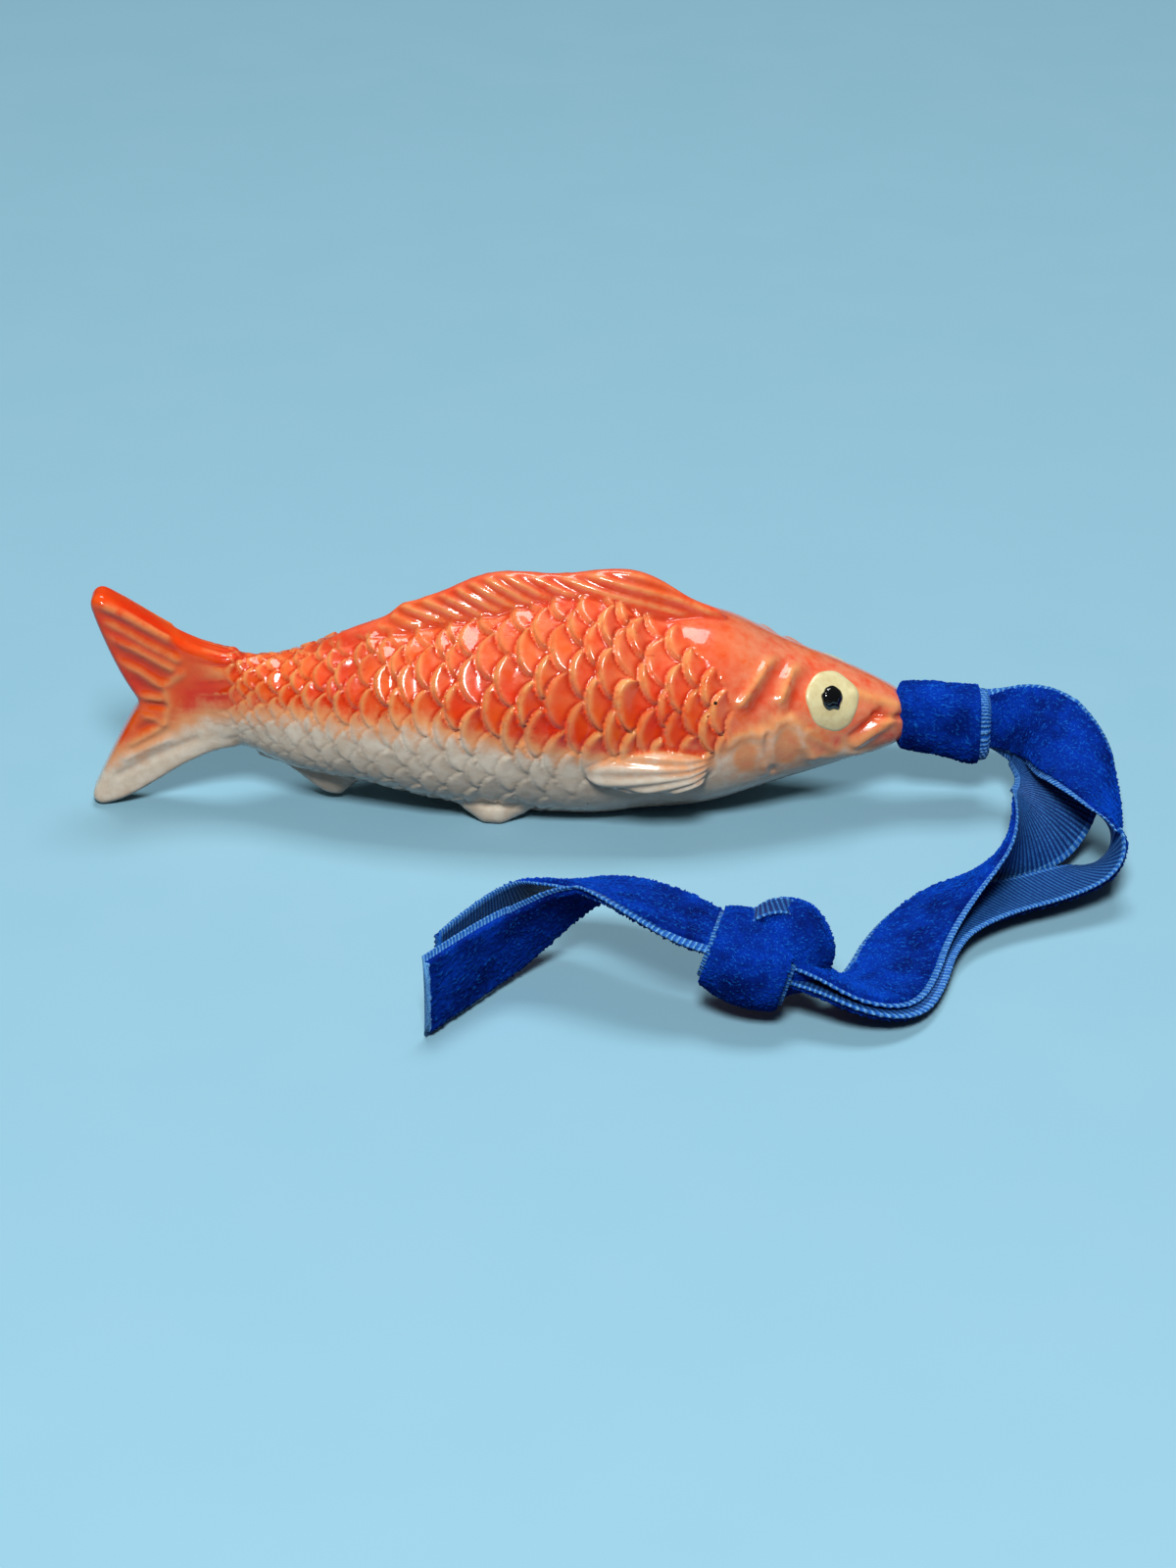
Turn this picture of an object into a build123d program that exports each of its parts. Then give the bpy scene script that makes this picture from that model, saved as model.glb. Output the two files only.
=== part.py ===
# Ceramic carp ornament with a wire ring in its snout and a velvet ribbon hitched to the ring.
# Millimetres. +X towards the mouth, +Z up, the fish stands on z = 0 with its middle at the origin.
import math
import os

from build123d import *

# Fish: overall sizes
FISH_LENGTH = 94.65
TAIL_LENGTH = 15.5
BODY_WIDTH = 22.6
BODY_HEIGHT = 26.8
WALL = 3.2
CUT_OVERRUN = 5.0

# Wire ring in the snout
WIRE_RADIUS = 0.45
HOLE_CLEARANCE = 0.1
RING_REACH = 2.65
RING_WIDTH = 2.9
RING_GAP = 0.3
RING_CORNER_RADIUS = 0.7

# Places along the fish, from the middle of its length with the ring
OVERALL_LENGTH = FISH_LENGTH + RING_REACH
TAIL_TIP_X = -OVERALL_LENGTH / 2
SNOUT_X = TAIL_TIP_X + FISH_LENGTH
ROOT_X = TAIL_TIP_X + TAIL_LENGTH
BODY_LENGTH = SNOUT_X - ROOT_X
RING_OUTER_X = SNOUT_X + RING_REACH - WIRE_RADIUS
RING_INNER_X = RING_OUTER_X - RING_WIDTH

# Body sections from the tail root to the snout tip: place along the body, half width,
# half height and height of the middle, as shares of the body's length, width and height
BODY_SHARES = [
    (0.00, 0.28, 0.39, 0.480),
    (0.09, 0.44, 0.50, 0.448),
    (0.15, 0.61, 0.60, 0.451),
    (0.22, 0.76, 0.71, 0.466),
    (0.30, 0.885, 0.805, 0.463),
    (0.38, 0.955, 0.895, 0.470),
    (0.48, 1.00, 1.00, 0.489),
    (0.58, 1.00, 0.985, 0.485),
    (0.68, 0.94, 0.88, 0.463),
    (0.76, 0.85, 0.76, 0.463),
    (0.82, 0.71, 0.61, 0.448),
    (0.88, 0.56, 0.485, 0.437),
    (0.94, 0.41, 0.35, 0.425),
    (0.98, 0.30, 0.245, 0.412),
    (1.00, 0.16, 0.13, 0.410),
]
HOLLOW_FIRST = 1
HOLLOW_LAST = 11

# The ring stands level with the snout tip and clears the lips
RING_MIDDLE = BODY_SHARES[-1][3] * BODY_HEIGHT
LIP_SHARE = (BODY_SHARES[-1][2] + BODY_SHARES[-2][2]) / 2
RING_HALF_HEIGHT = LIP_SHARE * BODY_HEIGHT / 2 + RING_GAP + WIRE_RADIUS

# Dorsal fin: place along the fin, height of its top edge and thickness, as shares
DORSAL_START_SHARE = 0.242
DORSAL_LENGTH = 39.0
DORSAL_RISE = 2.8
DORSAL_DEPTH = 14.0
DORSAL_THICKNESS = 4.8
DORSAL_SHARES = [
    (0.00, 0.765, 0.50),
    (0.10, 0.885, 0.80),
    (0.23, 0.948, 1.00),
    (0.38, 0.990, 1.00),
    (0.55, 0.984, 1.00),
    (0.70, 1.000, 1.00),
    (0.80, 0.958, 0.90),
    (0.91, 0.868, 0.75),
    (1.00, 0.805, 0.50),
]

# Tail fin: outline points as shares of its length, back from the root, and of its height
TAIL_RISE = 1.0
TAIL_HEIGHT = BODY_HEIGHT + TAIL_RISE
TAIL_THICKNESS = 4.0
TAIL_EDGE_ROUND = 1.0
TAIL_TIP_ROUND = 1.2
TAIL_ROOT_LAP = 2.5
TAIL_UPPER_SHARES = [(0.30, 0.775), (0.62, 0.895)]
TAIL_UPPER_TIP_SHARES = (0.955, 1.0)
TAIL_UPPER_INNER_SHARES = (0.76, 0.65)
TAIL_FORK_SHARES = (0.60, 0.475)
TAIL_LOWER_INNER_SHARES = (0.80, 0.27)
TAIL_LOWER_TIP_SHARES = (1.037, -0.008)
TAIL_LOWER_SHARES = [(0.62, 0.065), (0.30, 0.18)]
TAIL_ROOT_SHARES = (0.69, 0.255)

# Anal fin: place along the fin, height of its lower edge and thickness, as shares
ANAL_START_SHARE = 0.046
ANAL_LENGTH = 12.5
ANAL_REAR_HEIGHT_SHARE = 0.231
ANAL_DEPTH = 7.0
ANAL_THICKNESS = 3.4
ANAL_SHARES = [
    (0.00, 0.97, 0.50),
    (0.20, 0.80, 0.75),
    (0.45, 0.48, 0.95),
    (0.74, 0.12, 1.00),
    (0.90, 0.20, 0.90),
    (1.00, 0.42, 0.50),
]

# Pelvic fins: place along the fin, and size of its section, as shares
PELVIC_START_SHARE = 0.346
PELVIC_LENGTH = 8.0
PELVIC_SPREAD_SHARE = 0.23
PELVIC_HEIGHT = 4.4
PELVIC_THICKNESS = 3.6
PELVIC_MIDDLE_SHARE = 0.41
PELVIC_SHARES = [(0.0, 0.35), (0.25, 0.80), (0.60, 1.0), (1.0, 0.55)]

# Pectoral fins: place along the fin, and size of its section, as shares
PECTORAL_START_SHARE = 0.5275
PECTORAL_LENGTH = 14.0
PECTORAL_HEIGHT = 5.6
PECTORAL_THICKNESS = 3.2
PECTORAL_MIDDLE_SHARE = 0.343
PECTORAL_SEAT = 0.4
PECTORAL_SHARES = [(0.0, 0.25), (0.22, 0.75), (0.60, 1.0), (0.85, 0.85), (1.0, 0.50)]

# Eyes: enamel discs with a raised pupil, facing out and up from the head's axis
EYE_RADIUS = 3.4
EYE_THICKNESS = 0.7
EYE_SETBACK = 9.0
EYE_TILT = 39.0
EYE_HEIGHT_SHARE = 0.433
PUPIL_RADIUS = 1.35
PUPIL_THICKNESS = 0.7

# Velvet ribbon
RIBBON_WIDTH = 10.0
RIBBON_THICKNESS = 0.9
BIGHT_CLEARANCE = 0.15
GATHER_SHARE = 0.52
GATHERED_RUNS = 4
STATIONS_PER_RUN = 4
ARC_SHARE = 0.45

# Ribbon routes, along X from the ring's outer bar: point of the middle line, and the way across
# the ribbon from its near edge to its far edge
FRONT_STRAND_ROUTE = [
    ((1.6, -1.05, 10.8), (0.0, 0.0, 1.0)),
    ((4.0, -1.05, 10.8), (0.0, 0.0, 1.0)),
    ((7.4, -0.8, 10.0), (0.0, 0.2, 1.0)),
    ((11.8, -3.6, 10.2), (0.25, 0.55, 0.8)),
    ((15.8, -9.4, 9.3), (0.44, 0.75, 0.42)),
    ((18.8, -15.0, 7.0), (0.3, 0.9, -0.1)),
    ((20.4, -19.6, 4.9), (0.1, 0.92, -0.3)),
    ((18.0, -23.0, 3.0), (0.0, 0.96, -0.18)),
    ((12.3, -25.6, 2.3), (0.0, 0.96, -0.18)),
    ((5.3, -28.4, 2.1), (-0.15, 0.97, -0.17)),
    ((-0.6, -32.6, 1.9), (-0.3, 0.95, -0.1)),
    ((-3.8, -37.8, 1.5), (-0.5, 0.86, 0.0)),
    ((-5.2, -43.5, 1.2), (-0.7, 0.7, 0.0)),
    ((-7.2, -48.6, 1.4), (-0.6, 0.8, 0.0)),
    ((-10.8, -51.0, 2.8), (-0.3, 0.9, -0.1)),
    ((-15.2, -50.0, 4.6), (0.0, 0.95, -0.2)),
    ((-19.7, -48.4, 5.4), (0.0, 1.0, 0.0)),
]
BACK_STRAND_ROUTE = [
    ((1.6, 1.05, 10.8), (0.0, 0.0, 1.0)),
    ((4.0, 1.05, 10.8), (0.0, 0.0, 1.0)),
    ((7.4, 0.6, 10.0), (0.0, 0.2, 1.0)),
    ((12.4, -2.4, 9.2), (0.25, 0.55, 0.8)),
    ((15.0, -8.0, 6.9), (0.6, 0.6, 0.3)),
    ((13.5, -14.0, 5.6), (0.8, 0.3, -0.05)),
    ((9.6, -19.6, 5.6), (0.5, 0.65, -0.33)),
    ((5.4, -25.0, 4.8), (0.1, 0.88, -0.4)),
    ((-0.4, -30.6, 4.2), (-0.3, 0.93, -0.2)),
    ((-4.4, -37.0, 3.3), (-0.5, 0.86, -0.05)),
    ((-6.2, -43.0, 2.8), (-0.7, 0.7, 0.0)),
    ((-8.2, -47.6, 3.0), (-0.6, 0.8, 0.0)),
    ((-11.6, -49.6, 4.6), (-0.3, 0.93, -0.2)),
    ((-15.6, -49.0, 6.7), (0.0, 0.95, -0.2)),
    ((-19.7, -48.0, 7.4), (0.0, 1.0, 0.0)),
]
FRONT_TAIL_ROUTE = [
    ((-22.7, -47.6, 6.6), (0.0, 1.0, 0.1)),
    ((-27.7, -46.6, 8.2), (0.0, 1.0, 0.1)),
    ((-33.7, -43.8, 9.8), (0.0, 1.0, -0.1)),
    ((-39.7, -40.8, 9.0), (0.0, 0.7, -0.7)),
    ((-46.0, -41.6, 5.6), (0.0, 0.25, -0.97)),
    ((-51.2, -47.3, 5.2), (0.0, 0.0, -1.0)),
    ((-56.0, -53.7, 5.1), (0.0, 0.0, -1.0)),
]
BACK_TAIL_ROUTE = [
    ((-22.7, -47.4, 8.6), (0.0, 1.0, 0.1)),
    ((-27.7, -46.2, 9.9), (0.0, 1.0, 0.1)),
    ((-33.7, -43.2, 11.6), (0.0, 1.0, -0.1)),
    ((-39.4, -39.2, 11.0), (0.0, 0.9, -0.4)),
    ((-45.2, -37.0, 8.6), (0.0, 0.7, -0.7)),
    ((-50.6, -40.8, 5.7), (0.0, 0.25, -0.97)),
    ((-54.9, -48.0, 5.2), (0.0, 0.0, -1.0)),
]

# Hitch band: the loop drawn round both strands
BAND_LENGTH = 7.8
BAND_SETBACK = 0.8
BAND_WALL = 0.9
BAND_SIDE_GAPS = [0.25, 0.6, 0.6]
BAND_END_GAPS = [0.6, 0.5, 0.35]
BAND_DROPS = [0.1, 0.6, 1.1]
BAND_CORNER_SHARE = 0.45

# Overhand knot: place along it and size of its section, as shares
KNOT_CENTRE = (-19.7, -47.3, 5.9)
KNOT_LENGTH = 14.0
KNOT_DEPTH = 12.6
KNOT_HEIGHT = 11.6
KNOT_SHARES = [(-0.5, 0.50), (-0.32, 0.86), (0.0, 1.0), (0.32, 0.86), (0.5, 0.50)]


def along_body(share):
    """Place along X at a share of the body's length from the tail root."""
    return ROOT_X + share * BODY_LENGTH


def body_form(growth, first=0, last=len(BODY_SHARES)):
    """Body as one solid through its sections, each made larger by growth all round."""
    with BuildPart() as form:
        for place, width, height, middle in BODY_SHARES[first:last]:
            centre = (along_body(place), 0, middle * BODY_HEIGHT)
            with BuildSketch(Plane(centre, x_dir=(0, 1, 0), z_dir=(1, 0, 0))):
                Ellipse(width * BODY_WIDTH / 2 + growth, height * BODY_HEIGHT / 2 + growth)
        loft()
    return form.part


def upright_fin(rows, rear_x, length, depth, thickness, middle_height):
    """Fin as a row of ellipses along X, with each middle set by its row."""
    with BuildPart() as fin:
        for place, edge, fullness in rows:
            centre = (rear_x + place * length, 0, middle_height(edge))
            with BuildSketch(Plane(centre, x_dir=(0, 1, 0), z_dir=(1, 0, 0))):
                Ellipse(fullness * thickness / 2, depth / 2)
        loft()
    return fin.part


def side_fin(rows, rear_x, length, height, thickness, out, middle_height):
    """Low fin at one side of the body, as a row of ellipses along X."""
    with BuildPart() as fin:
        for place, fullness in rows:
            centre = (rear_x + place * length, out, middle_height)
            with BuildSketch(Plane(centre, x_dir=(0, 1, 0), z_dir=(1, 0, 0))):
                Ellipse(fullness * thickness / 2, fullness * height / 2)
        loft()
    return fin.part


def eye_plane(side):
    """Plane on the head's axis that faces out of the eye on one side."""
    tilt = math.radians(EYE_TILT)
    facing = (0, side * math.cos(tilt), math.sin(tilt))
    return Plane((SNOUT_X - EYE_SETBACK, 0, EYE_HEIGHT_SHARE * BODY_HEIGHT), x_dir=(1, 0, 0), z_dir=facing)


def route_points(route):
    """Points of a route, which is measured from the ring's outer bar."""
    return [Vector(RING_OUTER_X + x, y, z) for (x, y, z), across in route]


def route_path(route):
    """Straight runs joined by tangent arcs as large as the runs allow; prints the radii."""
    points = route_points(route)
    radii = []
    for before, here, after in zip(points, points[1:], points[2:]):
        turn = math.radians((here - before).get_angle(after - here))
        shorter = min((here - before).length, (after - here).length)
        radii.append(ARC_SHARE * shorter / math.tan(turn / 2))
    print("radii", [round(radius, 1) for radius in radii])
    with BuildLine() as path:
        FilletPolyline(*points, radius=radii)
    return path.wire()


def across_at(route, share):
    """Way across the ribbon at a share of the route's length."""
    points = route_points(route)
    runs = [(after - before).length for before, after in zip(points, points[1:])]
    along = share * sum(runs)
    for index, run in enumerate(runs):
        if along <= run or index == len(runs) - 1:
            part = min(along / run, 1)
            return Vector(*route[index][1]) * (1 - part) + Vector(*route[index + 1][1]) * part
        along -= run


def ribbon_strip(route, gathered_runs):
    """Flat ribbon along a route, run by run, narrowed over its first gathered runs."""
    path = route_path(route)
    runs = len(route) - 1
    with BuildPart() as strip:
        for run in range(runs):
            for step in range(STATIONS_PER_RUN + 1):
                along = run + step / STATIONS_PER_RUN
                opened = min(1, max(0, 2 * along / gathered_runs - 1)) if gathered_runs else 1
                width = RIBBON_WIDTH * (GATHER_SHARE + (1 - GATHER_SHARE) * opened)
                share = along / runs
                across = across_at(route, share)
                with BuildSketch(Plane(path @ share, x_dir=across, z_dir=path % share)):
                    Rectangle(width, RIBBON_THICKNESS)
            loft(ruled=True)
    print("volume over section times length",
          round(strip.part.volume / (RIBBON_WIDTH * RIBBON_THICKNESS * path.length), 3))
    return strip.part


# Whole body, before it is cut into its two moulded halves
outer_body = body_form(0)
with BuildPart() as belly_cut:
    Box(OVERALL_LENGTH, BODY_WIDTH + CUT_OVERRUN, BODY_HEIGHT,
        align=(Align.CENTER, Align.CENTER, Align.MAX))

with BuildPart() as whole_body:
    add(outer_body)
    add(belly_cut.part, mode=Mode.SUBTRACT)
    add(body_form(-WALL, HOLLOW_FIRST, HOLLOW_LAST), mode=Mode.SUBTRACT)
    with Locations((RING_INNER_X, 0, RING_MIDDLE)):
        Cylinder(WIRE_RADIUS + HOLE_CLEARANCE, BODY_HEIGHT, mode=Mode.SUBTRACT)

with BuildPart() as body_shell_right:
    add(whole_body.part)
    split(bisect_by=Plane.XZ, keep=Keep.TOP)

with BuildPart() as body_shell_left:
    add(whole_body.part)
    split(bisect_by=Plane.XZ, keep=Keep.BOTTOM)

# Fins on the middle line
with BuildPart() as dorsal_fin:
    add(upright_fin(DORSAL_SHARES, along_body(DORSAL_START_SHARE), DORSAL_LENGTH, DORSAL_DEPTH,
                    DORSAL_THICKNESS,
                    lambda edge: edge * (BODY_HEIGHT + DORSAL_RISE) - DORSAL_DEPTH / 2))
    add(outer_body, mode=Mode.SUBTRACT)

with BuildPart() as anal_fin:
    add(upright_fin(ANAL_SHARES, along_body(ANAL_START_SHARE), ANAL_LENGTH, ANAL_DEPTH, ANAL_THICKNESS,
                    lambda edge: edge * ANAL_REAR_HEIGHT_SHARE * BODY_HEIGHT + ANAL_DEPTH / 2))
    add(outer_body, mode=Mode.SUBTRACT)


def tail_point(shares):
    """Point of the tail's outline from its shares of length and height."""
    back, up = shares
    return (ROOT_X - back * TAIL_LENGTH, up * TAIL_HEIGHT)


with BuildPart() as tail_fin:
    with BuildSketch(Plane.XZ) as tail_outline:
        with BuildLine():
            top_of_root = (ROOT_X + TAIL_ROOT_LAP, TAIL_ROOT_SHARES[0] * TAIL_HEIGHT)
            foot_of_root = (ROOT_X + TAIL_ROOT_LAP, TAIL_ROOT_SHARES[1] * TAIL_HEIGHT)
            Spline(top_of_root, *[tail_point(shares) for shares in TAIL_UPPER_SHARES],
                   tail_point(TAIL_UPPER_TIP_SHARES))
            ThreePointArc(tail_point(TAIL_UPPER_TIP_SHARES), tail_point(TAIL_UPPER_INNER_SHARES),
                          tail_point(TAIL_FORK_SHARES))
            ThreePointArc(tail_point(TAIL_FORK_SHARES), tail_point(TAIL_LOWER_INNER_SHARES),
                          tail_point(TAIL_LOWER_TIP_SHARES))
            Spline(tail_point(TAIL_LOWER_TIP_SHARES),
                   *[tail_point(shares) for shares in TAIL_LOWER_SHARES], foot_of_root)
            Line(foot_of_root, top_of_root)
        make_face()
        fillet(tail_outline.vertices().sort_by(Axis.X)[:3], TAIL_TIP_ROUND)
    extrude(amount=TAIL_THICKNESS / 2, both=True)
    fillet(tail_fin.faces().filter_by(Axis.Y).edges(), TAIL_EDGE_ROUND)
    add(outer_body, mode=Mode.SUBTRACT)

# Fins, eyes and pupils in pairs
grown_for_eye = body_form(EYE_THICKNESS)
grown_for_pupil = body_form(EYE_THICKNESS + PUPIL_THICKNESS)
pairs = {}
for name, side in (("right", -1), ("left", 1)):
    with BuildPart() as pelvic_fin:
        add(side_fin(PELVIC_SHARES, along_body(PELVIC_START_SHARE), PELVIC_LENGTH, PELVIC_HEIGHT,
                     PELVIC_THICKNESS, side * PELVIC_SPREAD_SHARE * BODY_WIDTH,
                     PELVIC_MIDDLE_SHARE * PELVIC_HEIGHT))
        add(outer_body, mode=Mode.SUBTRACT)
        add(belly_cut.part, mode=Mode.SUBTRACT)
    pairs["pelvic_fin_" + name] = pelvic_fin

    with BuildPart() as pectoral_fin:
        add(side_fin(PECTORAL_SHARES, along_body(PECTORAL_START_SHARE), PECTORAL_LENGTH, PECTORAL_HEIGHT,
                     PECTORAL_THICKNESS, side * (BODY_WIDTH / 2 - PECTORAL_SEAT),
                     PECTORAL_MIDDLE_SHARE * BODY_HEIGHT))
        add(outer_body, mode=Mode.SUBTRACT)
    pairs["pectoral_fin_" + name] = pectoral_fin

    with BuildPart() as eye:
        with BuildSketch(eye_plane(side)):
            Circle(EYE_RADIUS)
        extrude(amount=BODY_WIDTH)
        add(grown_for_eye, mode=Mode.INTERSECT)
        add(outer_body, mode=Mode.SUBTRACT)
    pairs["eye_" + name] = eye

    with BuildPart() as pupil:
        with BuildSketch(eye_plane(side)):
            Circle(PUPIL_RADIUS)
        extrude(amount=BODY_WIDTH)
        add(grown_for_pupil, mode=Mode.INTERSECT)
        add(grown_for_eye, mode=Mode.SUBTRACT)
    pairs["pupil_" + name] = pupil

# Wire ring: an upright link whose inner bar stands in the snout's hole
with BuildPart() as mouth_ring:
    with BuildLine(Plane.XZ) as ring_path:
        low = RING_MIDDLE - RING_HALF_HEIGHT
        high = RING_MIDDLE + RING_HALF_HEIGHT
        FilletPolyline((RING_INNER_X, low), (RING_OUTER_X, low), (RING_OUTER_X, high), (RING_INNER_X, high),
                       radius=RING_CORNER_RADIUS, close=True)
    with BuildSketch(Plane(ring_path.wire() @ 0, z_dir=ring_path.wire() % 0)):
        Circle(WIRE_RADIUS)
    sweep(path=ring_path.wire())

# Knot and hitch band
with BuildPart() as ribbon_knot:
    for place, fullness in KNOT_SHARES:
        centre = (RING_OUTER_X + KNOT_CENTRE[0] + place * KNOT_LENGTH, KNOT_CENTRE[1], KNOT_CENTRE[2])
        with BuildSketch(Plane(centre, x_dir=(0, 1, 0), z_dir=(1, 0, 0))):
            Ellipse(fullness * KNOT_DEPTH / 2, fullness * KNOT_HEIGHT / 2)
    loft()


# Inner and outer radius of the turn round the ring's outer bar
bight_inner = WIRE_RADIUS + BIGHT_CLEARANCE
bight_outer = bight_inner + RIBBON_THICKNESS


def band_form(growth):
    """Tapered round-cornered block along the hitch, larger than its gap by growth."""
    count = len(BAND_SIDE_GAPS)
    with BuildPart() as form:
        for index in range(count):
            place = RING_OUTER_X - BAND_SETBACK + BAND_LENGTH * index / (count - 1)
            gap = bight_outer + BAND_SIDE_GAPS[index] + growth
            height = RING_HALF_HEIGHT + BAND_END_GAPS[index] + growth
            centre = (place, 0, RING_MIDDLE - BAND_DROPS[index])
            with BuildSketch(Plane(centre, x_dir=(0, 1, 0), z_dir=(1, 0, 0))):
                RectangleRounded(2 * gap, 2 * height, BAND_CORNER_SHARE * gap)
        loft()
    return form.part


with BuildPart() as ribbon_hitch_band:
    add(band_form(BAND_WALL))
    add(band_form(0), mode=Mode.SUBTRACT)

# Turn of ribbon round the ring's outer bar, up to the start of the strands
strand_start_x, strand_start_y, strand_start_z = FRONT_STRAND_ROUTE[0][0]
with BuildPart() as ribbon_bight:
    with BuildSketch(Plane.XY.offset(strand_start_z)):
        with Locations((RING_OUTER_X, 0)):
            Circle(bight_outer)
            Rectangle(strand_start_x, 2 * bight_outer, align=(Align.MIN, Align.CENTER))
            Circle(bight_inner, mode=Mode.SUBTRACT)
            Rectangle(strand_start_x, 2 * bight_inner, align=(Align.MIN, Align.CENTER), mode=Mode.SUBTRACT)
    extrude(amount=GATHER_SHARE * RIBBON_WIDTH / 2, both=True)

strips = {}
for name, route, gathered_runs in (
    ("ribbon_front_strand", FRONT_STRAND_ROUTE, GATHERED_RUNS),
    ("ribbon_back_strand", BACK_STRAND_ROUTE, GATHERED_RUNS),
    ("ribbon_front_tail", FRONT_TAIL_ROUTE, 0),
    ("ribbon_back_tail", BACK_TAIL_ROUTE, 0),
):
    with BuildPart() as strip:
        add(ribbon_strip(route, gathered_runs))
        add(ribbon_knot.part, mode=Mode.SUBTRACT)
    strips[name] = strip

# One file for each piece
pieces = {
    "body_shell_right": body_shell_right,
    "body_shell_left": body_shell_left,
    "dorsal_fin": dorsal_fin,
    "tail_fin": tail_fin,
    "anal_fin": anal_fin,
    "mouth_ring": mouth_ring,
    "ribbon_bight": ribbon_bight,
    "ribbon_hitch_band": ribbon_hitch_band,
    "ribbon_knot": ribbon_knot,
    **pairs,
    **strips,
}
os.makedirs("parts", exist_ok=True)
for name, piece in pieces.items():
    piece.part.label = name
    export_step(piece.part, "parts/" + name + ".step")
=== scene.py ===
# Ceramic carp ornament with a wire ring in its snout and a velvet ribbon hitched to the ring.
# Metres. +X towards the mouth, +Z up, the fish stands on z = 0.
import math

import bmesh
import bpy
import numpy as np
from mathutils import Euler, Matrix, Vector, noise
from mathutils.bvhtree import BVHTree


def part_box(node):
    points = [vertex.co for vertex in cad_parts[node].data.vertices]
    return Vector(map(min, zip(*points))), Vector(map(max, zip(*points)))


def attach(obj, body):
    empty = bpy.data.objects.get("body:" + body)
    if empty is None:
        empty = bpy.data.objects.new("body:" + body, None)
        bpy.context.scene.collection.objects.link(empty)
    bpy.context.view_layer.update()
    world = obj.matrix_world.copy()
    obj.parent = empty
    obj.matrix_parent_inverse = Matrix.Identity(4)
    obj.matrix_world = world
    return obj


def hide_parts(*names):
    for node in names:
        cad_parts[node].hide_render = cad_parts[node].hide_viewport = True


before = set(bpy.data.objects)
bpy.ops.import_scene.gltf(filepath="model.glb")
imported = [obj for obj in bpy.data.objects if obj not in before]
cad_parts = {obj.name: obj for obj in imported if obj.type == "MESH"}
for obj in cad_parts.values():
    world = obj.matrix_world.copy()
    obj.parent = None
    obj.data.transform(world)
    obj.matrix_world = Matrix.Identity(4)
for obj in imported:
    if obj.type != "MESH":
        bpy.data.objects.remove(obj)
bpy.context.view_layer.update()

# Nodes of the model
BODY_NODES = ["body_shell_right", "body_shell_left"]
FIN_NODES = ["dorsal_fin", "tail_fin", "anal_fin", "pelvic_fin_right", "pelvic_fin_left",
             "pectoral_fin_right", "pectoral_fin_left"]
SIDES = {"right": -1, "left": 1}

# Skin of the fish
SKIN_VOXEL = 0.00027
SKIN_SMOOTHING = 12
TAIL_SMOOTHING_SHARE = 0.3
PROFILE_ROWS = 60
PROFILE_STEP = 0.001
# Places in the side view where a fin runs into the body, with reach, and rounds of smoothing there
SOFT_PLACES = [(-0.033, 0.0126, 0.0075), (-0.0134, 0.025, 0.005), (-0.018, 0.0222, 0.0055),
               (0.0228, 0.01, 0.0026), (-0.0056, 0.0014, 0.003), (0.0018, 0.0014, 0.003),
               (-0.0176, 0.0032, 0.0032)]
SOFT_CORE_SHARE = 0.4
SOFT_ROUNDS = 140
# Clay drawn out behind the back fin: middle, half sizes and slope
RAMP_MIDDLE = (-0.0155, 0.0, 0.0221)
RAMP_SIZES = (0.0075, 0.0014, 0.0013)
RAMP_SLOPE = math.radians(-18)

# Scales: half rows from the back to the belly, and pitch along the body from its half height
SCALE_HALF_ROWS = 13
SCALE_PITCH_BASE = 0.0011
SCALE_PITCH_SHARE = 0.21
SCALE_REACH_SHARE = 0.64
SCALE_SPREAD_SHARE = 1.06
SCALE_JITTER_SHARE = 0.17
SCALE_RELIEF = 0.00074
SCALE_FULL_PITCH = 0.0039
SCALE_MIDDLE_SHARE = 0.4
SCALE_SEED = 7
SCALE_TABLE = 64
SCALE_WARP_SCALE = 130
SCALE_WARP_SHARE = 0.16
# How much a scale lifts and falls off, and its pale rim, which is painted paler on its upper side as a
# highlight
SCALE_LIFT_SHARE = 0.35
SCALE_DEPTH_SHARE = 0.85
RIM_LOWER_SIDE_SHARE = 0.4
RIM_FULL_SHARE = 0.8

# Where scales stop behind the gill cover, by height, and where they run on over the tail fin
GILL_EDGE = [(0.0, 0.017), (0.006, 0.02), (0.01, 0.0235), (0.014, 0.0255), (0.017, 0.0255),
             (0.02, 0.024), (0.022, 0.0215), (0.024, 0.019), (0.028, 0.014)]
TAIL_FIN_START = -0.03
# Share of the scales' height under the glaze's edge and towards the tail
BELLY_RELIEF_SHARE = 0.28
REAR_RELIEF_SHARE = 0.5

# Relief of the tail
TAIL_START = -0.034
TAIL_LINE_SHARE = 0.8
TAIL_EDGE_ROWS = 60

# Fades over the skin: the value where each starts and the value where it is full
FADES = {
    # Along the fish
    "tail_smoothing": (-0.041, -0.046), "tail_root": (-0.0378, -0.0298), "breast": (0.0015, 0.01),
    "tail_fin": (-0.035, -0.041), "rear": (-0.008, -0.032), "head_thin_and_sheen": (0.019, 0.029),
    "tail_thin_and_sheen": (-0.038, -0.026), "seam_tail": (-0.034, -0.03),
    # From the fish's middle to both ends, and up
    "seam_ends": (0.046, 0.044), "breast_height": (0.0085, 0.0045), "back_thin_and_sheen": (0.014, 0.022),
    # Off the body
    "fin": (0.00016, 0.0006), "seam_start": (0.00002, 0.00012), "seam_end": (0.0003, 0.0007),
    # From the gill cover, the glaze's lower edge and the tail's rear edge
    "gill_edge": (0.0006, -0.001), "belly": (0.004, -0.004), "tail_edge": (0.0002, 0.0022),
}
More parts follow.
